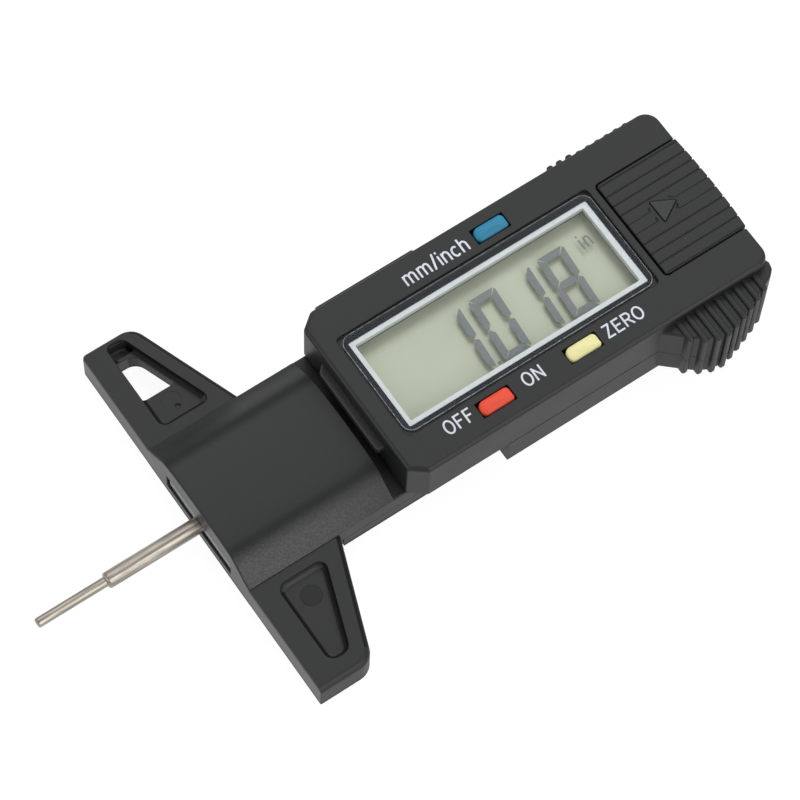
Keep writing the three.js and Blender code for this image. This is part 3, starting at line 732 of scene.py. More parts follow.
def build_t_base():
    base = union(base_foot(), base_hump())
    union(base, slab(rect(-BEAM_HALF, BEAM_HALF, 0, BEAM_TOP, 0.25, 4),
                     HUMP_END - 0.8, THICK_END, top=0.2, steps=3, axis="x"))
    union(base, slab(rect(-9.4, 9.4, 1.75, BEAM_TOP, 0.2, 3),
                     THICK_END - 0.8, BEAM_END, top=0.4, steps=3, axis="x"))
    # room for the back plate, the probe and the guide plate
    plate_x0, plate_x1, lip = 15.2, THICK_END + 0.02, BEAM_HALF - 0.16
    cut(base, box(plate_x0, plate_x1, -20, 20, -1, 2.36),
        box(plate_x0, plate_x1, -20, -lip, 2.2, 2.47), box(plate_x0, plate_x1, lip, 20, 2.2, 2.47))
    cut(base, rod(0, PROBE_Z, 1.5, 1, 15.5, 40, "x"))
    cut(base, box(15.15, 44, -1.6, 1.6, 0.75, 4.8))
    cut(base, slab(rect(43.6, 76.2, -2.4, 2.4, 0.8, 5), 1, 4.8))
    mouth = rect(-7.8, 7.95, 1.75, 4.85, 0.3, 4)
    cut(base, loft([(inset(mouth, -0.16), -1.0), (inset(mouth, -0.16), 0.0),
                    (inset(mouth, -0.05), 0.06), (mouth, 0.16), (mouth, 2.4)], "x"))
    # shallow dished hollow in the +Y wing, with a coarse pit at its far end
    floor, dish = 3.9, 1.08
    cut(base, slab(Shape(PLUS_HOLLOW, 8), floor, 6.2, bottom=dish, steps=8))
    cut(base, slab(Shape(PIT, 6), 2.5, 4.4, bottom=0.5))
    window = Shape(LANYARD_WINDOW, 8, shares=[0.2, 1, 0.5, 0])
    cut(base, loft([(inset(window, -0.75), -0.5), (inset(window, -0.66), 0.0),
                    (window, 3.75), (window, 4.4)]))
    cut(base, slab(Shape(MINUS_HOLLOW, 8), floor, 6.2, bottom=dish, steps=8))
    # ejector marks
    cut(base, rod(6.95, 17.45, 1.46, 3.86, 4.4, 48))
    cut(base, rod(7.25, 16.3, 0.42, 3.62, 4.4, 24))
    union(base, rod(6.9, -17.3, 1.52, 3.7, 3.96, 56))
    # blind holes for the back plate
    for x in (19.5, 37.0):
        for y in (9.0, -9.0):
            cut(base, rod(x, y, 0.8, 1, 4.6, 20))
    place(base, "t_base_body", "base",
          "black black_coarse black_disc black_flank black_face black_wall",
          "t_base", 28, base_finish)


# ---------------------------------------------------------------------------------- head shells
HEAD_X0, HEAD_X1, HEAD_HALF = 25.5, 85.38, 14.43
TOP = span("upper_shell")[5]
PART_Z, WALL = 5.6, 1.6  # height where the shells part, and their wall
LOW_Z0, UP_Z0, OVERLAP_Z = 1.0, 4.5, 6.5  # grip bottoms in each shell; top of the uncut lower one
GRIP_TOP, RIB_TOP, RIB_ROOT, RIB_HALF = 11.35, 11.8, 13.4, 0.46
# ribs: x, reach from the centre line
MINUS_RIBS = [(69.35, 17.75), (71.0, 19.0), (72.62, 19.75), (74.25, 19.95), (75.88, 19.5),
              (77.5, 19.0), (79.13, 18.4), (80.75, 17.8), (82.4, 17.1)]
PLUS_RIBS = [(68.7 + 1.594 * i, 15.4 if i < 3 else 15.12) for i in range(9)]
# grips: x, distance from the centre line, corner radius
MINUS_GRIP = [(66.3, 14.2, 0.1), (69.35, 17.0, 1.5), (71.0, 18.4, 1.5), (72.6, 19.2, 1.5),
              (74.25, 19.4, 2), (75.9, 19.05, 2), (77.5, 18.55, 2), (80.75, 17.3, 2),
              (82.6, 16.55, 2), (84.5, 15.6, 1), (85.3, 14.8, 0.6), (85.55, 13.8, 0.3),
              (85.0, 12.4), (66.4, 12.4)]
PLUS_GRIP = [(66.7, 14.2, 0.2), (67.2, 15.05, 0.4), (72.2, 15.05, 0.3), (72.7, 14.8, 0.3),
             (82.3, 14.8, 0.4), (82.9, 14.2, 0.2), (82.4, 12.4), (66.8, 12.4)]
PLUS_PAD = [(29.0, 14.2, 0.1), (29.25, 15.35, 0.3), (45.4, 15.35, 0.3), (46.0, 14.2, 0.1),
            (45.5, 12.4), (29.1, 12.4)]
FRONT_LEDGE = [(26.2, -7.1), (26.2, 8.7), (25.5, 8.0, 0.3), (24.4, 6.9, 0.3), (24.4, -6.95, 0.5),
               (25.5, -7.1, 0.3)]
# node: body, colour, x, y
BUTTONS = {
    "button_unit": ("unit_key", "blue", 55.63, 11.16),
    "button_power": ("power_key", "red", 41.12, -10.9),
    "button_zero": ("zero_key", "yellow", 55.62, -10.9),
}
# x, y, radius of the upper post, of the lower post and of the recess in the back
CASE_SCREWS = [(47.5, 11.2, 1.65, 1.65, 1.35), (47.5, -11.2, 1.65, 1.65, 1.35),
               (81.4, 11.0, 1.7, 2.1, 1.55), (81.4, -11.0, 1.7, 2.1, 1.55)]
DOOR_LEDGE = 12.4  # floor of the recess for the battery door


def head_plan(grow=0.0):
    """Plan of the head, chamfered towards the face and rounded at the far end."""
    x0, x1, half, chamfer = HEAD_X0 - grow, HEAD_X1 + grow, HEAD_HALF + grow, HEAD_X0 + 2.4
    return Shape([(x0, -12.55, 0.35), (chamfer, -half, 0.4), (x1, -half, 2.3 + grow),
                  (x1, half, 2.3 + grow), (chamfer, half, 1.1), (x0, 12.55, 0.9)], 8)


def ribs(low, high, top=(0, 0), bottom=(0, 0)):
    """Raised grip bars down both sides; top and bottom are radii for the -Y and +Y side."""
    bars = []
    for row, side, upper, lower in zip((MINUS_RIBS, PLUS_RIBS), (-1, 1), top, bottom):
        for x, reach in row:
            section = Shape([(side * RIB_ROOT, low), (side * reach, low, lower),
                             (side * reach, high, upper), (side * RIB_ROOT, high)], 5)
            bars.append(slab(section, x - RIB_HALF, x + RIB_HALF, 0.30, 0.30, axis="x"))
    return bars


def grip(corners, side, low, high, top=0.0, bottom=0.0):
    return slab(Shape([(x, side * y, *r) for x, y, *r in corners], 4), low, high, top, bottom)


def in_cavity(centre):
    return centre.x < HEAD_X1 - 1.5 and abs(centre.y) < HEAD_HALF - 1.5


def build_upper():
    shell = slab(head_plan(), UP_Z0, TOP, top=0.7, steps=6)
    union(shell, grip(MINUS_GRIP, -1, UP_Z0, GRIP_TOP, 0.35),
          grip(PLUS_GRIP, 1, UP_Z0, GRIP_TOP, 0.3), grip(PLUS_PAD, 1, UP_Z0, GRIP_TOP, 0.25))
    union(shell, *ribs(UP_Z0, RIB_TOP, top=(0.55, 0.4)))
    union(shell, slab(Shape(FRONT_LEDGE, 4), 9.15, 10.6, 0.3, 0.3))
    cut(shell, slab(inset(head_plan(), WALL), 3.5, TOP - WALL, top=0.3, steps=3))
    cut(shell, box(0, 120, -40, 40, 0, PART_Z),
        box(HEAD_X0 - 3, HEAD_X0 + 2.6, -12.7, 12.7, 5.0, 6.05))
    roof = TOP - WALL + 0.4  # height that reaches into the roof
    for x, y, radius, _, _ in CASE_SCREWS:
        union(shell, rod(x, y, radius, PART_Z, roof))
    cut(shell, *[rod(x, y, 0.8, PART_Z - 1, 10.8, 24) for x, y, *_ in CASE_SCREWS])
    # cell well under the door
    union(shell, slab(rect(71.2, 84.0, -8.35, 8.35), 6.05, roof))
    cut(shell, rod(77.8, 0, 6.1, 6.55, 14, 64))
    cut(shell, box(71.0, 73.5, -1.3, 1.3, 6.55, 7.6), box(71.0, 75, 3.3, 5.9, 6.9, TOP - WALL))
    cut(shell, well(rect(71.42, 90, -8.5, 8.62, 0.75, 5), DOOR_LEDGE, TOP, flare=0.12, steps=3))
    cut(shell, box(72.3, 90, -9.15, 9.15, DOOR_LEDGE, 13.0),
        box(84.0, 90, -8.55, 8.55, 6.3, 14))
    # display window: lens seat and the opening below it
    cut(shell, well(rect(28.22, 70.33, -8.68, 8.92, 0.75, 5), 12.7, TOP, flare=0.16, steps=4))
    cut(shell, slab(rect(29.2, 69.6, -7.65, 7.95, 0.35, 4), 11, 13))
    for _, _, x, y in BUTTONS.values():
        hole = rect(x - 2.74, x + 2.74, y - 1.26, y + 1.26, 0.12, 3)
        cut(shell, well(hole, 11, TOP, flare=0.07, steps=3))

    def finish(centre, normal):
        plain, inner, coarse = range(3)
        if centre.z < 12.35 and HEAD_X0 + 1.5 < centre.x and in_cavity(centre):
            return inner
        return coarse if centre.x < HEAD_X0 - 0.02 and normal.z > 0.5 else plain

    place(shell, "upper_shell_body", "head", "black black_inner black_coarse",
          "upper_shell", 28, finish)


def recess(x, y, radius, flare, depth):
    """Cutter for a round recess in the back, flared at its mouth."""
    wide, narrow = circle(x, y, radius + flare, 40), circle(x, y, radius, 40)
    return loft([(wide, -0.5), (wide, 0.0), (narrow, flare), (narrow, depth)])


def build_lower():
    start, rim = 41.4, PART_Z - 0.08
    shell = slab(head_plan(0.03), 0, OVERLAP_Z, bottom=0.45, steps=5)
    union(shell, grip(MINUS_GRIP, -1, LOW_Z0, OVERLAP_Z, bottom=0.35),
          grip(PLUS_GRIP, 1, LOW_Z0, OVERLAP_Z, bottom=0.3))
    union(shell, *ribs(LOW_Z0, OVERLAP_Z, bottom=(0.45, 0.35)))
    union(shell, grip(PLUS_PAD, 1, rim - 1.2, OVERLAP_Z, bottom=0.3))
    cut(shell, slab(inset(head_plan(), WALL), 1.4, 8, bottom=0.3, steps=3))
    cut(shell, box(0, 120, -40, 40, rim, 9), box(0, start, -30, 30, -1, 9))
    for y0, y1 in ((9.6, 10.7), (-10.7, -9.6)):  # long inner walls
        union(shell, box(42.2, HEAD_X1 - 1, y0, y1, 1, rim))
    for x, y, _, radius, _ in CASE_SCREWS:
        union(shell, rod(x, y, radius, 1, rim))
    for x, y, _, _, radius in CASE_SCREWS:
        cut(shell, rod(x, y, 0.95, -1, 7, 24), recess(x, y, radius, flare=0.22, depth=1.5))
    cut(shell, rod(47.5, 0, 0.85, -1, 2, 24), recess(47.5, 0, 1.6, flare=0.2, depth=0.9))
    cut(shell, box(54.9, 69.1, -10.25, -9.5, 2, 7))

    def finish(centre, normal):
        return int(centre.z > 1.2 and start + 0.1 < centre.x and in_cavity(centre))

    place(shell, "lower_shell_body", "head", "black black_inner",
          "lower_shell", 28, finish)


# ---------------------------------------------------------------------------------- battery door
DOOR_X0, DOOR_X1 = 71.74, span("battery_door")[1] + 0.1
DOOR_Y0, DOOR_Y1 = -8.26, 8.42
DOOR_Z, DOOR_TOP = 12.46, 13.42
FLUTES = [8.0, 6.14, 4.45, 2.71, 0.95, -0.81, -2.67, -4.5, -6.26, -7.98]  # y
# the two middle flutes break off around the arrowhead
FLUTE_A, FLUTE_B = FLUTES[4:6]
BROKEN_FLUTES = [
    [(DOOR_X0 - 0.6, FLUTE_A), (75.66, FLUTE_A), (75.72, 1.5)],
    [(DOOR_X0 - 0.6, FLUTE_B), (75.66, FLUTE_B), (75.72, -0.24)],
    [(79.08, 1.52), (79.55, 1.12), (80.1, FLUTE_A), (DOOR_X1 + 0.6, FLUTE_A)],
    [(79.55, -0.12), (79.12, -0.62), (79.35, FLUTE_B), (DOOR_X1 + 0.6, FLUTE_B)],
]
ARROWHEAD = [(76.36, 2.2, 0.12), (76.4, -1.52, 0.12), (79.72, 0.45, 0.12)]


def build_door():
    x0, x1, y0, y1 = DOOR_X0, DOOR_X1, DOOR_Y0, DOOR_Y1
    bowed = [(x1 - 0.32, y0, 0.25), (x1 - 0.1, y0 + 3.4, 6.0), (x1, 0.08, 20.0),
             (x1 - 0.1, y1 - 3.4, 6.0), (x1 - 0.32, y1, 0.25)]
    door = slab(Shape([(x0, y0, 0.45), *bowed, (x0, y1, 0.45)], 5), DOOR_Z, DOOR_TOP, top=0.22)
    end_wall = Shape([(84.2, y0), *bowed, (84.2, y1)], 5)
    union(door, slab(end_wall, 6.6, 12.9, top=0.25 * 0, bottom=0.25, steps=3)
          if False else slab(end_wall, 6.6, 12.9, bottom=0.25, steps=3))
    union(door, slab(rect(72.6, 84.9, -8.95, 8.95, 0.2, 3), DOOR_Z, 12.93, top=0.1, steps=2))
    # flutes along the pull direction, carried down the end wall
    for y in FLUTES[:4] + FLUTES[6:]:
        cut(door, vgroove([(x0 - 0.6, y), (x1 + 0.6, y)], 0.40, 0.21, DOOR_TOP))
    for y in FLUTES[1:-1]:
        end_notch = [(x1 + 0.35, y - 0.50), (x1 + 0.35, y + 0.50), (x1 - 0.26 - 0.004 * y * y, y)]
        cut(door, slab(Shape(end_notch), 6.0, 14.0))
        start_notch = [(x0 - 0.3, y + 0.34), (x0 - 0.3, y - 0.34), (x0 + 0.17, y)]
        cut(door, slab(Shape(start_notch), 12.7, 14.0))
    for path in BROKEN_FLUTES:
        cut(door, vgroove(path, 0.34, 0.16, DOOR_TOP))
    # raised arrowhead that shows which way the door slides
    arrow = Shape(ARROWHEAD, 3)
    cut(door, loft([(inset(arrow, -0.04), 13.28), (inset(arrow, -0.2), 13.44),
                    (inset(arrow, -0.2), 13.8)]))
    union(door, slab(arrow, 13.1, 13.56, top=0.06, steps=2))

    def finish(centre, normal):
        return int(centre.z > 13.5 and 76 < centre.x < 80 and abs(centre.y) < 2.5)

    place(door, "battery_door_body", "door", "black black_coarse",
          "battery_door", 26, finish)


# ---------------------------------------------------------------------------------- buttons
def build_button(name):
    """Key cap with rolled edges and a domed top, a flange below the shell and a stem."""
    body, colour, x, y = BUTTONS[name]
    top = span(name)[5]
    dome, roll, draft = 0.22, 0.46, 0.02
    plan = Shape([(x - 2.6, y - 1.14, 0.80), (x + 2.6, y - 1.14, 0.5),
                  (x + 2.6, y + 1.14, 0.7), (x - 2.6, y + 1.14, 1.10)], 7)
    rings = [(plan, 11.3), (plan, 12.0), (inset(plan, draft), 13.2)]
    for a in np.linspace(0, math.radians(66), 7):
        rings.append((inset(plan, draft + roll * (1 - math.cos(a))),
                      top - dome - roll + roll * math.sin(a)))
    last, z = rings[-1]
    middle = np.array([x, y])
    for k in (0.82, 0.6, 0.35, 0.12):
        rings.append((middle + last * k - middle * k, z + (top - z) * (1 - k * k)))
    cap = loft(rings)
    flange = rect(x - 3.0, x + 3.0, y - 1.45, y + 1.45, 0.4, 4)
    union(cap, slab(flange, 10.9, 11.45, 0.1, 0.1, steps=2))
    union(cap, rod(x, y, 0.7, 10.4, 11.0, 24, bottom=0.15))
    place(cap, name + "_cap", body, colour, name, 32)


# ---------------------------------------------------------------------------------- probe
def lathe_x(profile, z, count):
    """Solid turned about the line y = 0 at height z: profile [(x, radius), ...]."""
    verts, rows = [], []
    for x, radius in profile:
        n = 1 if radius <= 1e-9 else count
        rows.append(range(len(verts), len(verts) + n))
        for i in range(n):
            a = 2 * math.pi * i / count
            verts.append((x, radius * math.cos(a), z + radius * math.sin(a)))
    faces = []
    for a, b in zip(rows, rows[1:]):
        for i in range(count):
            j = (i + 1) % count
            corners = (a[i % len(a)], b[i % len(b)], b[j % len(b)], a[j % len(a)])
            faces.append(tuple(dict.fromkeys(corners)))  # triangles where a row is one point
    return make(verts, faces)


def build_probe():
    x0, x1 = span("depth_probe")[:2]
    thin, thick, step = 0.73, 1.2, -14.9  # tip radius, shank radius, x of the shoulder
    tip = [(x0, 0), (x0, 0.25), (x0 + 0.015, 0.5), (x0 + 0.06, 0.62), (x0 + 0.16, 0.70),
           (x0 + 0.3, thin)]
    tip += [(x0 + 0.3 + (step - x0 - 0.5) * t, thin + 0.004 * math.sin(t * 19))
            for t in np.linspace(0.02, 1, 40)]
    shoulder = [(step - 0.1, thin), (step - 0.02, thin + 0.03), (step, thin + 0.12),
                (step + 0.05, thick - 0.2), (step + 0.16, thick - 0.08),
                (step + 0.32, thick - 0.015), (step + 0.5, thick)]
    shank = [(step + 0.5 + (x1 - step - 1.0) * t, thick) for t in np.linspace(0.01, 1, 60)]
    end = [(x1 - 0.2, thick - 0.08), (x1, thick - 0.3), (x1, 0)]
    place(lathe_x(tip + shoulder + shank + end, PROBE_Z, 96), "depth_probe_pin", "head",
          "probe", "depth_probe", 40, weighted=False)


# ---------------------------------------------------------------------------------- display
def build_display():
    x0, x1, y0, y1, z0, z1 = span("lens")
    lens = slab(rect(x0, x1, y0, y1, 1.6, 12), z0 + 0.02, z1, top=0.10, steps=3)
    # the rounded top edge of the lens gets the painted highlight finish
    place(lens, "lens_window", "head", "lens lens_edge", "lens", 50,
          lambda centre, normal: int(abs(normal.z) < 0.97 and centre.z > z1 - 0.1))
    # bonded into the underside of the lens
    edge = 0.06
    border = slab(rect(x0 + edge, x1 - edge, y0 + edge, y1 - edge, 1.55, 12), 12.72, 12.76)
    cut(border, slab(rect(29.53, 69.35, -7.34, 7.63, 0.22, 3), 12.0, 13.0))
    place(border, "lens_black_border", "head", "border")
    z0, z1 = span("display_frame")[4:]
    ring = slab(rect(29.5, 69.39, -7.37, 7.66, 0.25, 3), z0, z1, top=0.05, steps=2)
    hole = rect(30.26, 68.40, -6.55, 6.86, 0.08, 2)
    mouth = inset(hole, -0.07)
    cut(ring, loft([(hole, z0 - 1), (hole, z1 - 0.12), (mouth, z1), (mouth, z1 + 1)]))
    place(ring, "display_rim_ring", "head", "rim", "display_frame", 25)
    x0, x1, y0, y1, z0, _ = span("display_panel")
    panel = slab(rect(x0, x1, y0, y1, 0.2, 3), z0, 10.4, 0.08, 0.08, steps=2)
    place(panel, "display_panel_glass", "head", "glass", "display_panel")


INK_Z, INK_T = 11.22, 0.03  # the switched-on film above the reflector
SEEN_Z = 13.4  # the display's marks are laid out on this plane, as read from EYE
EYE = np.array((-93.9, -167.8, 454.9))
PRINT_Z, PRINT_T = TOP - 0.01, 0.022  # print on the shell, sunk slightly into it
DIGIT_Y, DIGIT_HALF, DIGIT_W, BAR, SLANT, GAP = -1.64, 5.16, 4.42, 1.08, 0.0735, 0.06
DIGITS = [(45.05, "bc"), (50.88, "abcdef"), (56.62, "bc"), (62.42, "abcdefg")]  # right edge, bars
POINT = [(44.60, -6.76), (45.10, -6.76), (45.14, -6.24), (44.64, -6.24)]


def sink(outline):
    """Carries an outline from SEEN_Z down the line of sight to the film."""
    points = np.array(outline, float)
    return points + (points - EYE[:2]) * (SEEN_Z - INK_Z) / (EYE[2] - SEEN_Z)


def digit_bars(right, lit):
    """Mitred seven-segment bars around a slanted outline, lettered clockwise from the top."""
    width, half, middle = DIGIT_W, DIGIT_HALF, BAR / 2

    def turned(bar, across=False, down=False):
        return [(width - x if across else x, -y if down else y) for x, y in bar]

    level = [(GAP * 2 + 0.12, half), (width - GAP * 2 - 0.12, half),
             (width - BAR - GAP, half - BAR), (BAR + GAP, half - BAR)]
    upright = [(0.0, half - 0.42), (0.12, half - 0.16), (BAR, half - BAR - GAP),
               (BAR, middle + 0.12 + GAP), (0.5, GAP + 0.05), (0.0, 0.42)]
    centre = [(0.52 + GAP, 0), (BAR + 0.12, middle), (width - BAR - 0.12, middle),
              (width - 0.52 - GAP, 0), (width - BAR - 0.12, -middle), (BAR + 0.12, -middle)]
    bars = {"a": level, "d": turned(level, down=True), "g": centre, "f": upright,
            "b": turned(upright, across=True), "e": turned(upright, down=True),
            "c": turned(upright, across=True, down=True)}
    return [[(right - width + x - SLANT * (half - y), DIGIT_Y + y) for x, y in bar]
            for key, bar in bars.items() if key in lit]


def build_digits():
    outlines = [bar for right, lit in DIGITS for bar in digit_bars(right, lit)] + [POINT]
    film = reduce(union, [slab(ccw(sink(o)), INK_Z, INK_Z + INK_T) for o in outlines])
    place(film, "display_digits", "head", "ink", weighted=False)


# ---------------------------------------------------------------------------------- lettering
def arc(cx, cy, rx, ry, start, end, count):
    return [(cx + rx * math.cos(math.radians(a)), cy + ry * math.sin(math.radians(a)))
            for a in np.linspace(start, end, count)]


STEM, SHORT_STEM = [(0.07, 0), (0.07, 1)], [(0.07, 0), (0.07, 0.72)]
ARCH = [(0.07, 0.45)] + arc(0.31, 0.45, 0.24, 0.24, 160, 10, 8) + [(0.55, 0.38), (0.55, 0)]
# Upright letters drawn as strokes: width, then paths in units of the capital height.
GLYPHS = {
    "O": (0.76, [arc(0.38, 0.5, 0.34, 0.47, 0, 360, 33)[:-1]]),
    "F": (0.60, [STEM, [(0.0, 0.965), (0.58, 0.965)], [(0.0, 0.52), (0.52, 0.52)]]),
    "N": (0.72, [STEM, [(0.65, 0), (0.65, 1)], [(0.07, 0.93), (0.65, 0.07)]]),
    "Z": (0.66, [[(0.04, 0.965), (0.60, 0.965)], [(0.57, 0.99), (0.07, 0.01)],
                 [(0.02, 0.035), (0.64, 0.035)]]),
    "E": (0.62, [STEM, [(0.0, 0.965), (0.60, 0.965)], [(0.0, 0.515), (0.55, 0.515)],
                 [(0.0, 0.035), (0.61, 0.035)]]),
    "R": (0.68, [STEM, [(0.0, 0.965), (0.36, 0.965)] + arc(0.36, 0.725, 0.24, 0.24, 80, -80, 9)
                 + [(0.36, 0.485), (0.0, 0.485)], [(0.36, 0.47), (0.66, 0.0)]]),
    "m": (1.06, [SHORT_STEM,
                 [(0.07, 0.45)] + arc(0.29, 0.48, 0.21, 0.21, 165, 15, 8)
                 + [(0.50, 0.40), (0.50, 0)],
                 [(0.50, 0.45)] + arc(0.72, 0.48, 0.21, 0.21, 165, 15, 8)
                 + [(0.93, 0.40), (0.93, 0)]]),
    "n": (0.62, [SHORT_STEM, ARCH]),
    "h": (0.62, [STEM, ARCH]),
    "i": (0.16, [[(0.07, 0), (0.07, 0.70)], [(0.07, 0.86), (0.07, 1.0)]]),
    "c": (0.60, [arc(0.33, 0.355, 0.27, 0.32, 48, 312, 16)]),
    "/": (0.42, [[(0.03, -0.02), (0.37, 1.02)]]),
}
# name, text, x0, x1, baseline y, capital height, stroke width, letter gap
UNIT_MARK = ("display_unit", "in", 64.55, 66.25, 1.2, 2.36, 0.27, 0.30)
LABELS = [
    ("label_mm_inch", "mm/inch", 41.12, 51.66, 10.02, 2.32, 0.30, 0.16),
    ("label_off", "OFF", 33.0, 37.44, -11.58, 2.07, 0.28, 0.20),
    ("label_on", "ON", 45.9, 49.1, -11.58, 2.07, 0.28, 0.16),
    ("label_zero", "ZERO", 59.35, 65.68, -11.78, 2.02, 0.28, 0.16),
]


def stroke(path, width, closed):
    """Outline of a ribbon along a path; outer and inner outline when the path is closed."""
    path = np.array(path, float)
    if closed:
        path = ccw(path)
        return [inset(path, -width / 2), inset(path, width / 2)]
    sides = path_mitres(path) * width / 2
    return [np.concatenate([path + sides, (path - sides)[::-1]])]


def lettering(name, text, x0, x1, baseline, height, width, gap, on_display=False):
    """Sets a word between x0 and x1 as thin raised strokes."""
    z, thick = (INK_Z, INK_T) if on_display else (PRINT_Z, PRINT_T)
    slot, finish = ("display_glass", "ink") if on_display else ("white_plastic", "print")
    strokes, at = [], 0.0
    for letter in text:
        advance, paths = GLYPHS[letter]
        strokes += [(at, path, letter == "O") for path in paths]  # only the O is closed
        at += advance + gap
    scale = (x1 - x0) / (at - gap)
    solids = []
    for shift, path, closed in strokes:
        points = [(x0 + (shift + x) * scale, baseline + y * height) for x, y in path]
        rings = stroke(points, width, closed)
        if on_display:
            rings = [sink(ring) for ring in rings]
        solids.append(slab(ccw(rings[0]), z, z + thick))
        if closed:
            cut(solids[-1], slab(ccw(rings[1]), z - 1, z + 1))
    place(reduce(union, solids), name, "head", finish, weighted=False)


# ---------------------------------------------------------------------------------- CAD pieces
CAD_FINISH = {
    "beam_back_plate": "black", "probe_guide_plate": "guide", "scale_strip": "scale",
    "display_tray": "white", "contact_rubber_1": "rubber", "contact_rubber_2": "rubber",
    "circuit_board": "board", "chip_cap": "epoxy", "timing_crystal": "can",
    "switch_unit": "switch", "switch_power": "switch", "switch_zero": "switch",
    "probe_holder": "brass", "probe_clamp_screw": "steel", "leaf_spring": "spring",
    "coin_cell": "cell", "contact_negative": "gold", "contact_positive": "gold",
}


def finish_cad_nodes():
    """Gives the CAD pieces that stay visible a finish and slightly broken edges."""
    for name, node in NODES.items():
        if node.hide_render:
            continue
        node.data.materials.clear()
        node.data.materials.append(LOOK[CAD_FINISH.get(name, "steel")])
        for polygon in node.data.polygons:
            polygon.material_index = 0
        flats = node.modifiers.new("flats", "DECIMATE")
        flats.decimate_type, flats.angle_limit = "DISSOLVE", math.radians(1.0)
        edges = node.modifiers.new("edges", "BEVEL")
        edges.width = 0.00012 if name == "beam_back_plate" else 0.00004
        edges.segments, edges.limit_method, edges.angle_limit = 2, "ANGLE", math.radians(35)
        edges.harden_normals = False


# ---------------------------------------------------------------------------------- studio
TENT = 0.42  # even light from all around
KEY_POWER, KEY_SIZE, KEY_DISTANCE = 1.9, 0.26, 0.6
PANELS = [  # direction, half angle in degrees, strength
    ((0.36, 0.48, 0.80), 42, 0.75),
    ((0.20, -0.78, 0.58), 36, 1.5),
    ((-0.9, 0.1, 0.35), 30, 0.95),
]
# reflectance, and the glow given to the scene and shown to the camera
FLOOR_DIFFUSE, FLOOR_BOUNCE, FLOOR_SEEN = 0.14, 0.62, 0.93
FLOOR_HALF, FLOOR_Z = 3.0, -0.00003
CAMERA_AT = (FACE - 0.093896, -0.167801, 0.454908)
CAMERA_AZIMUTH, CAMERA_DIP, CAMERA_ROLL = 37.131, 64.982, 2.998  # degrees
SENSOR, LENS = 36.0, 162.30393


def build_floor():
    size, z = FLOOR_HALF, FLOOR_Z
    mesh = bpy.data.meshes.new("floor")
    corners = [(-size, -size, z), (size, -size, z), (size, size, z), (-size, size, z)]
    mesh.from_pydata(corners, [], [(0, 1, 2, 3)])
    floor = bpy.data.objects.new("floor", mesh)
    bpy.context.scene.collection.objects.link(floor)
    mat = Finish("floor_white")
    diffuse = mat.shader("BsdfDiffuse", Color=(FLOOR_DIFFUSE,) * 3)
    ray = mat.node("LightPath").outputs
    glow = mat.ramp(ray["Is Camera Ray"], over=(0, 1), to=(FLOOR_BOUNCE, FLOOR_SEEN))
    emission = mat.shader("Emission", Color=(1, 1, 1), Strength=glow)
    lit = mat.node("AddShader", {0: diffuse, 1: emission}).outputs[0]
    # only there from above, and lets light reach the underside where the gauge rests on it
    below = mat.node("NewGeometry").outputs["Backfacing"]
    touching = mat.calc("LESS_THAN", ray["Ray Length"], 0.0008)
    hidden = mat.calc("MAXIMUM", touching, below)
    mesh.materials.append(mat.surface(mat.blend(hidden, lit, mat.shader("BsdfTransparent"))))


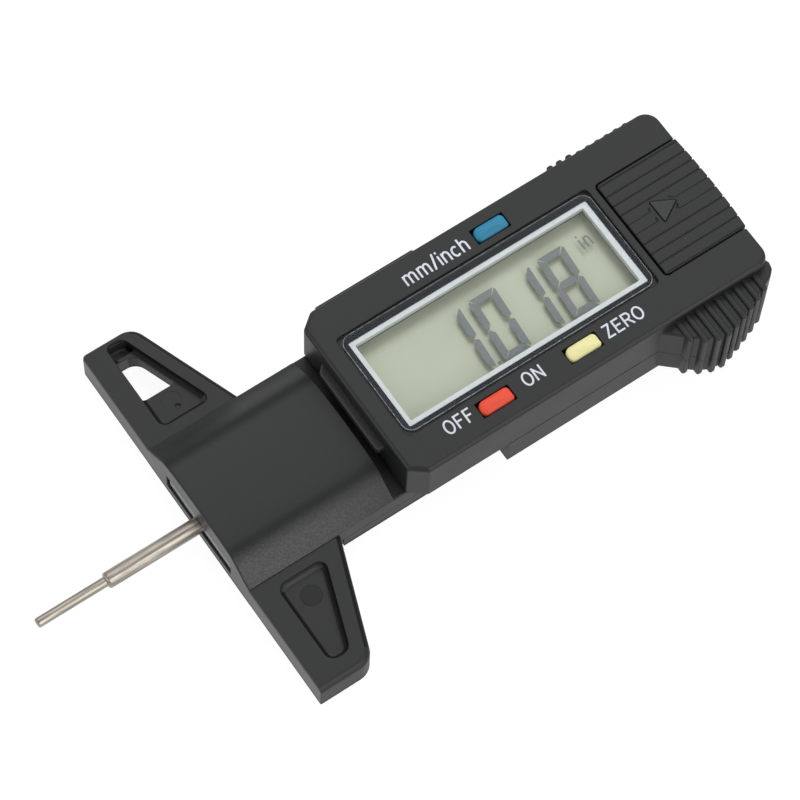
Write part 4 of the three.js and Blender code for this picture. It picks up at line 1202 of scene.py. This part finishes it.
def build_world():
    """White tent with broad soft panels: each adds a smooth lobe around its direction."""
    world = bpy.data.worlds.new("studio")
    bpy.context.scene.world = world
    world.use_nodes = True
    graph = Graph(world.node_tree)
    background = graph.tree.nodes["Background"]
    toward = graph.vector("NORMALIZE", graph.node("TexCoord").outputs["Generated"])
    lobes = []
    for direction, wide, power in PANELS:
        facing = graph.vector("DOT_PRODUCT", toward, Vector(direction).normalized())
        edge, core = math.cos(math.radians(wide)), math.cos(math.radians(wide * 0.35))
        lobes.append(graph.ramp(facing, over=(edge, core), to=(0.0, power),
                                interpolation_type="SMOOTHSTEP"))
    total = graph.calc("ADD", lobes[0], TENT)
    for lobe in lobes[1:]:
        total = graph.calc("ADD", total, lobe)
    graph.tree.links.new(total, background.inputs[1])
    background.inputs[0].default_value = (1.0, 1.0, 1.0, 1)
    world.cycles.sampling_method = "MANUAL"
    world.cycles.sample_map_resolution = 512


def build_key_light():
    """Area light in the direction of the first panel, without a reflection of its own."""
    light = bpy.data.lights.new("key", "AREA")
    light.shape, light.size, light.size_y = "RECTANGLE", KEY_SIZE, KEY_SIZE
    light.energy = KEY_POWER
    key = bpy.data.objects.new("key", light)
    direction = Vector(PANELS[0][0]).normalized()
    key.location = Vector((0.02, 0, 0)) + direction * KEY_DISTANCE
    key.rotation_mode = "QUATERNION"
    key.rotation_quaternion = direction.to_track_quat("Z", "Y")
    key.visible_glossy = False
    bpy.context.scene.collection.objects.link(key)


def build_camera():
    lens = bpy.data.cameras.new("camera")
    camera = bpy.data.objects.new("camera", lens)
    bpy.context.scene.collection.objects.link(camera)
    azimuth, dip, roll = map(math.radians, (CAMERA_AZIMUTH, CAMERA_DIP, CAMERA_ROLL))
    right = Vector((math.cos(azimuth), -math.sin(azimuth), 0))
    level = Vector((math.sin(azimuth), math.cos(azimuth), 0))
    forward = level * math.cos(dip) - Vector((0, 0, 1)) * math.sin(dip)
    up = level * math.sin(dip) + Vector((0, 0, 1)) * math.cos(dip)
    axis_x = right * math.cos(roll) + up * math.sin(roll)
    axis_y = up * math.cos(roll) - right * math.sin(roll)
    turn = Matrix((axis_x, axis_y, -forward)).transposed()
    camera.matrix_world = Matrix.Translation(Vector(CAMERA_AT)) @ turn.to_4x4()
    lens.sensor_width, lens.lens = SENSOR, LENS
    lens.clip_start, lens.clip_end = 0.01, 20
    bpy.context.scene.camera = camera


# ---------------------------------------------------------------------------------- build
build_t_base()
build_upper()
build_lower()
build_door()
for button in BUTTONS:
    build_button(button)
build_probe()
build_display()
build_digits()
lettering(*UNIT_MARK, on_display=True)
for label in LABELS:
    lettering(*label)
finish_cad_nodes()

bpy.context.scene.view_settings.view_transform = "Standard"
build_floor()
build_world()
build_key_light()
build_camera()
bpy.context.scene.collection.children.unlink(SCRATCH)
bpy.data.collections.remove(SCRATCH)
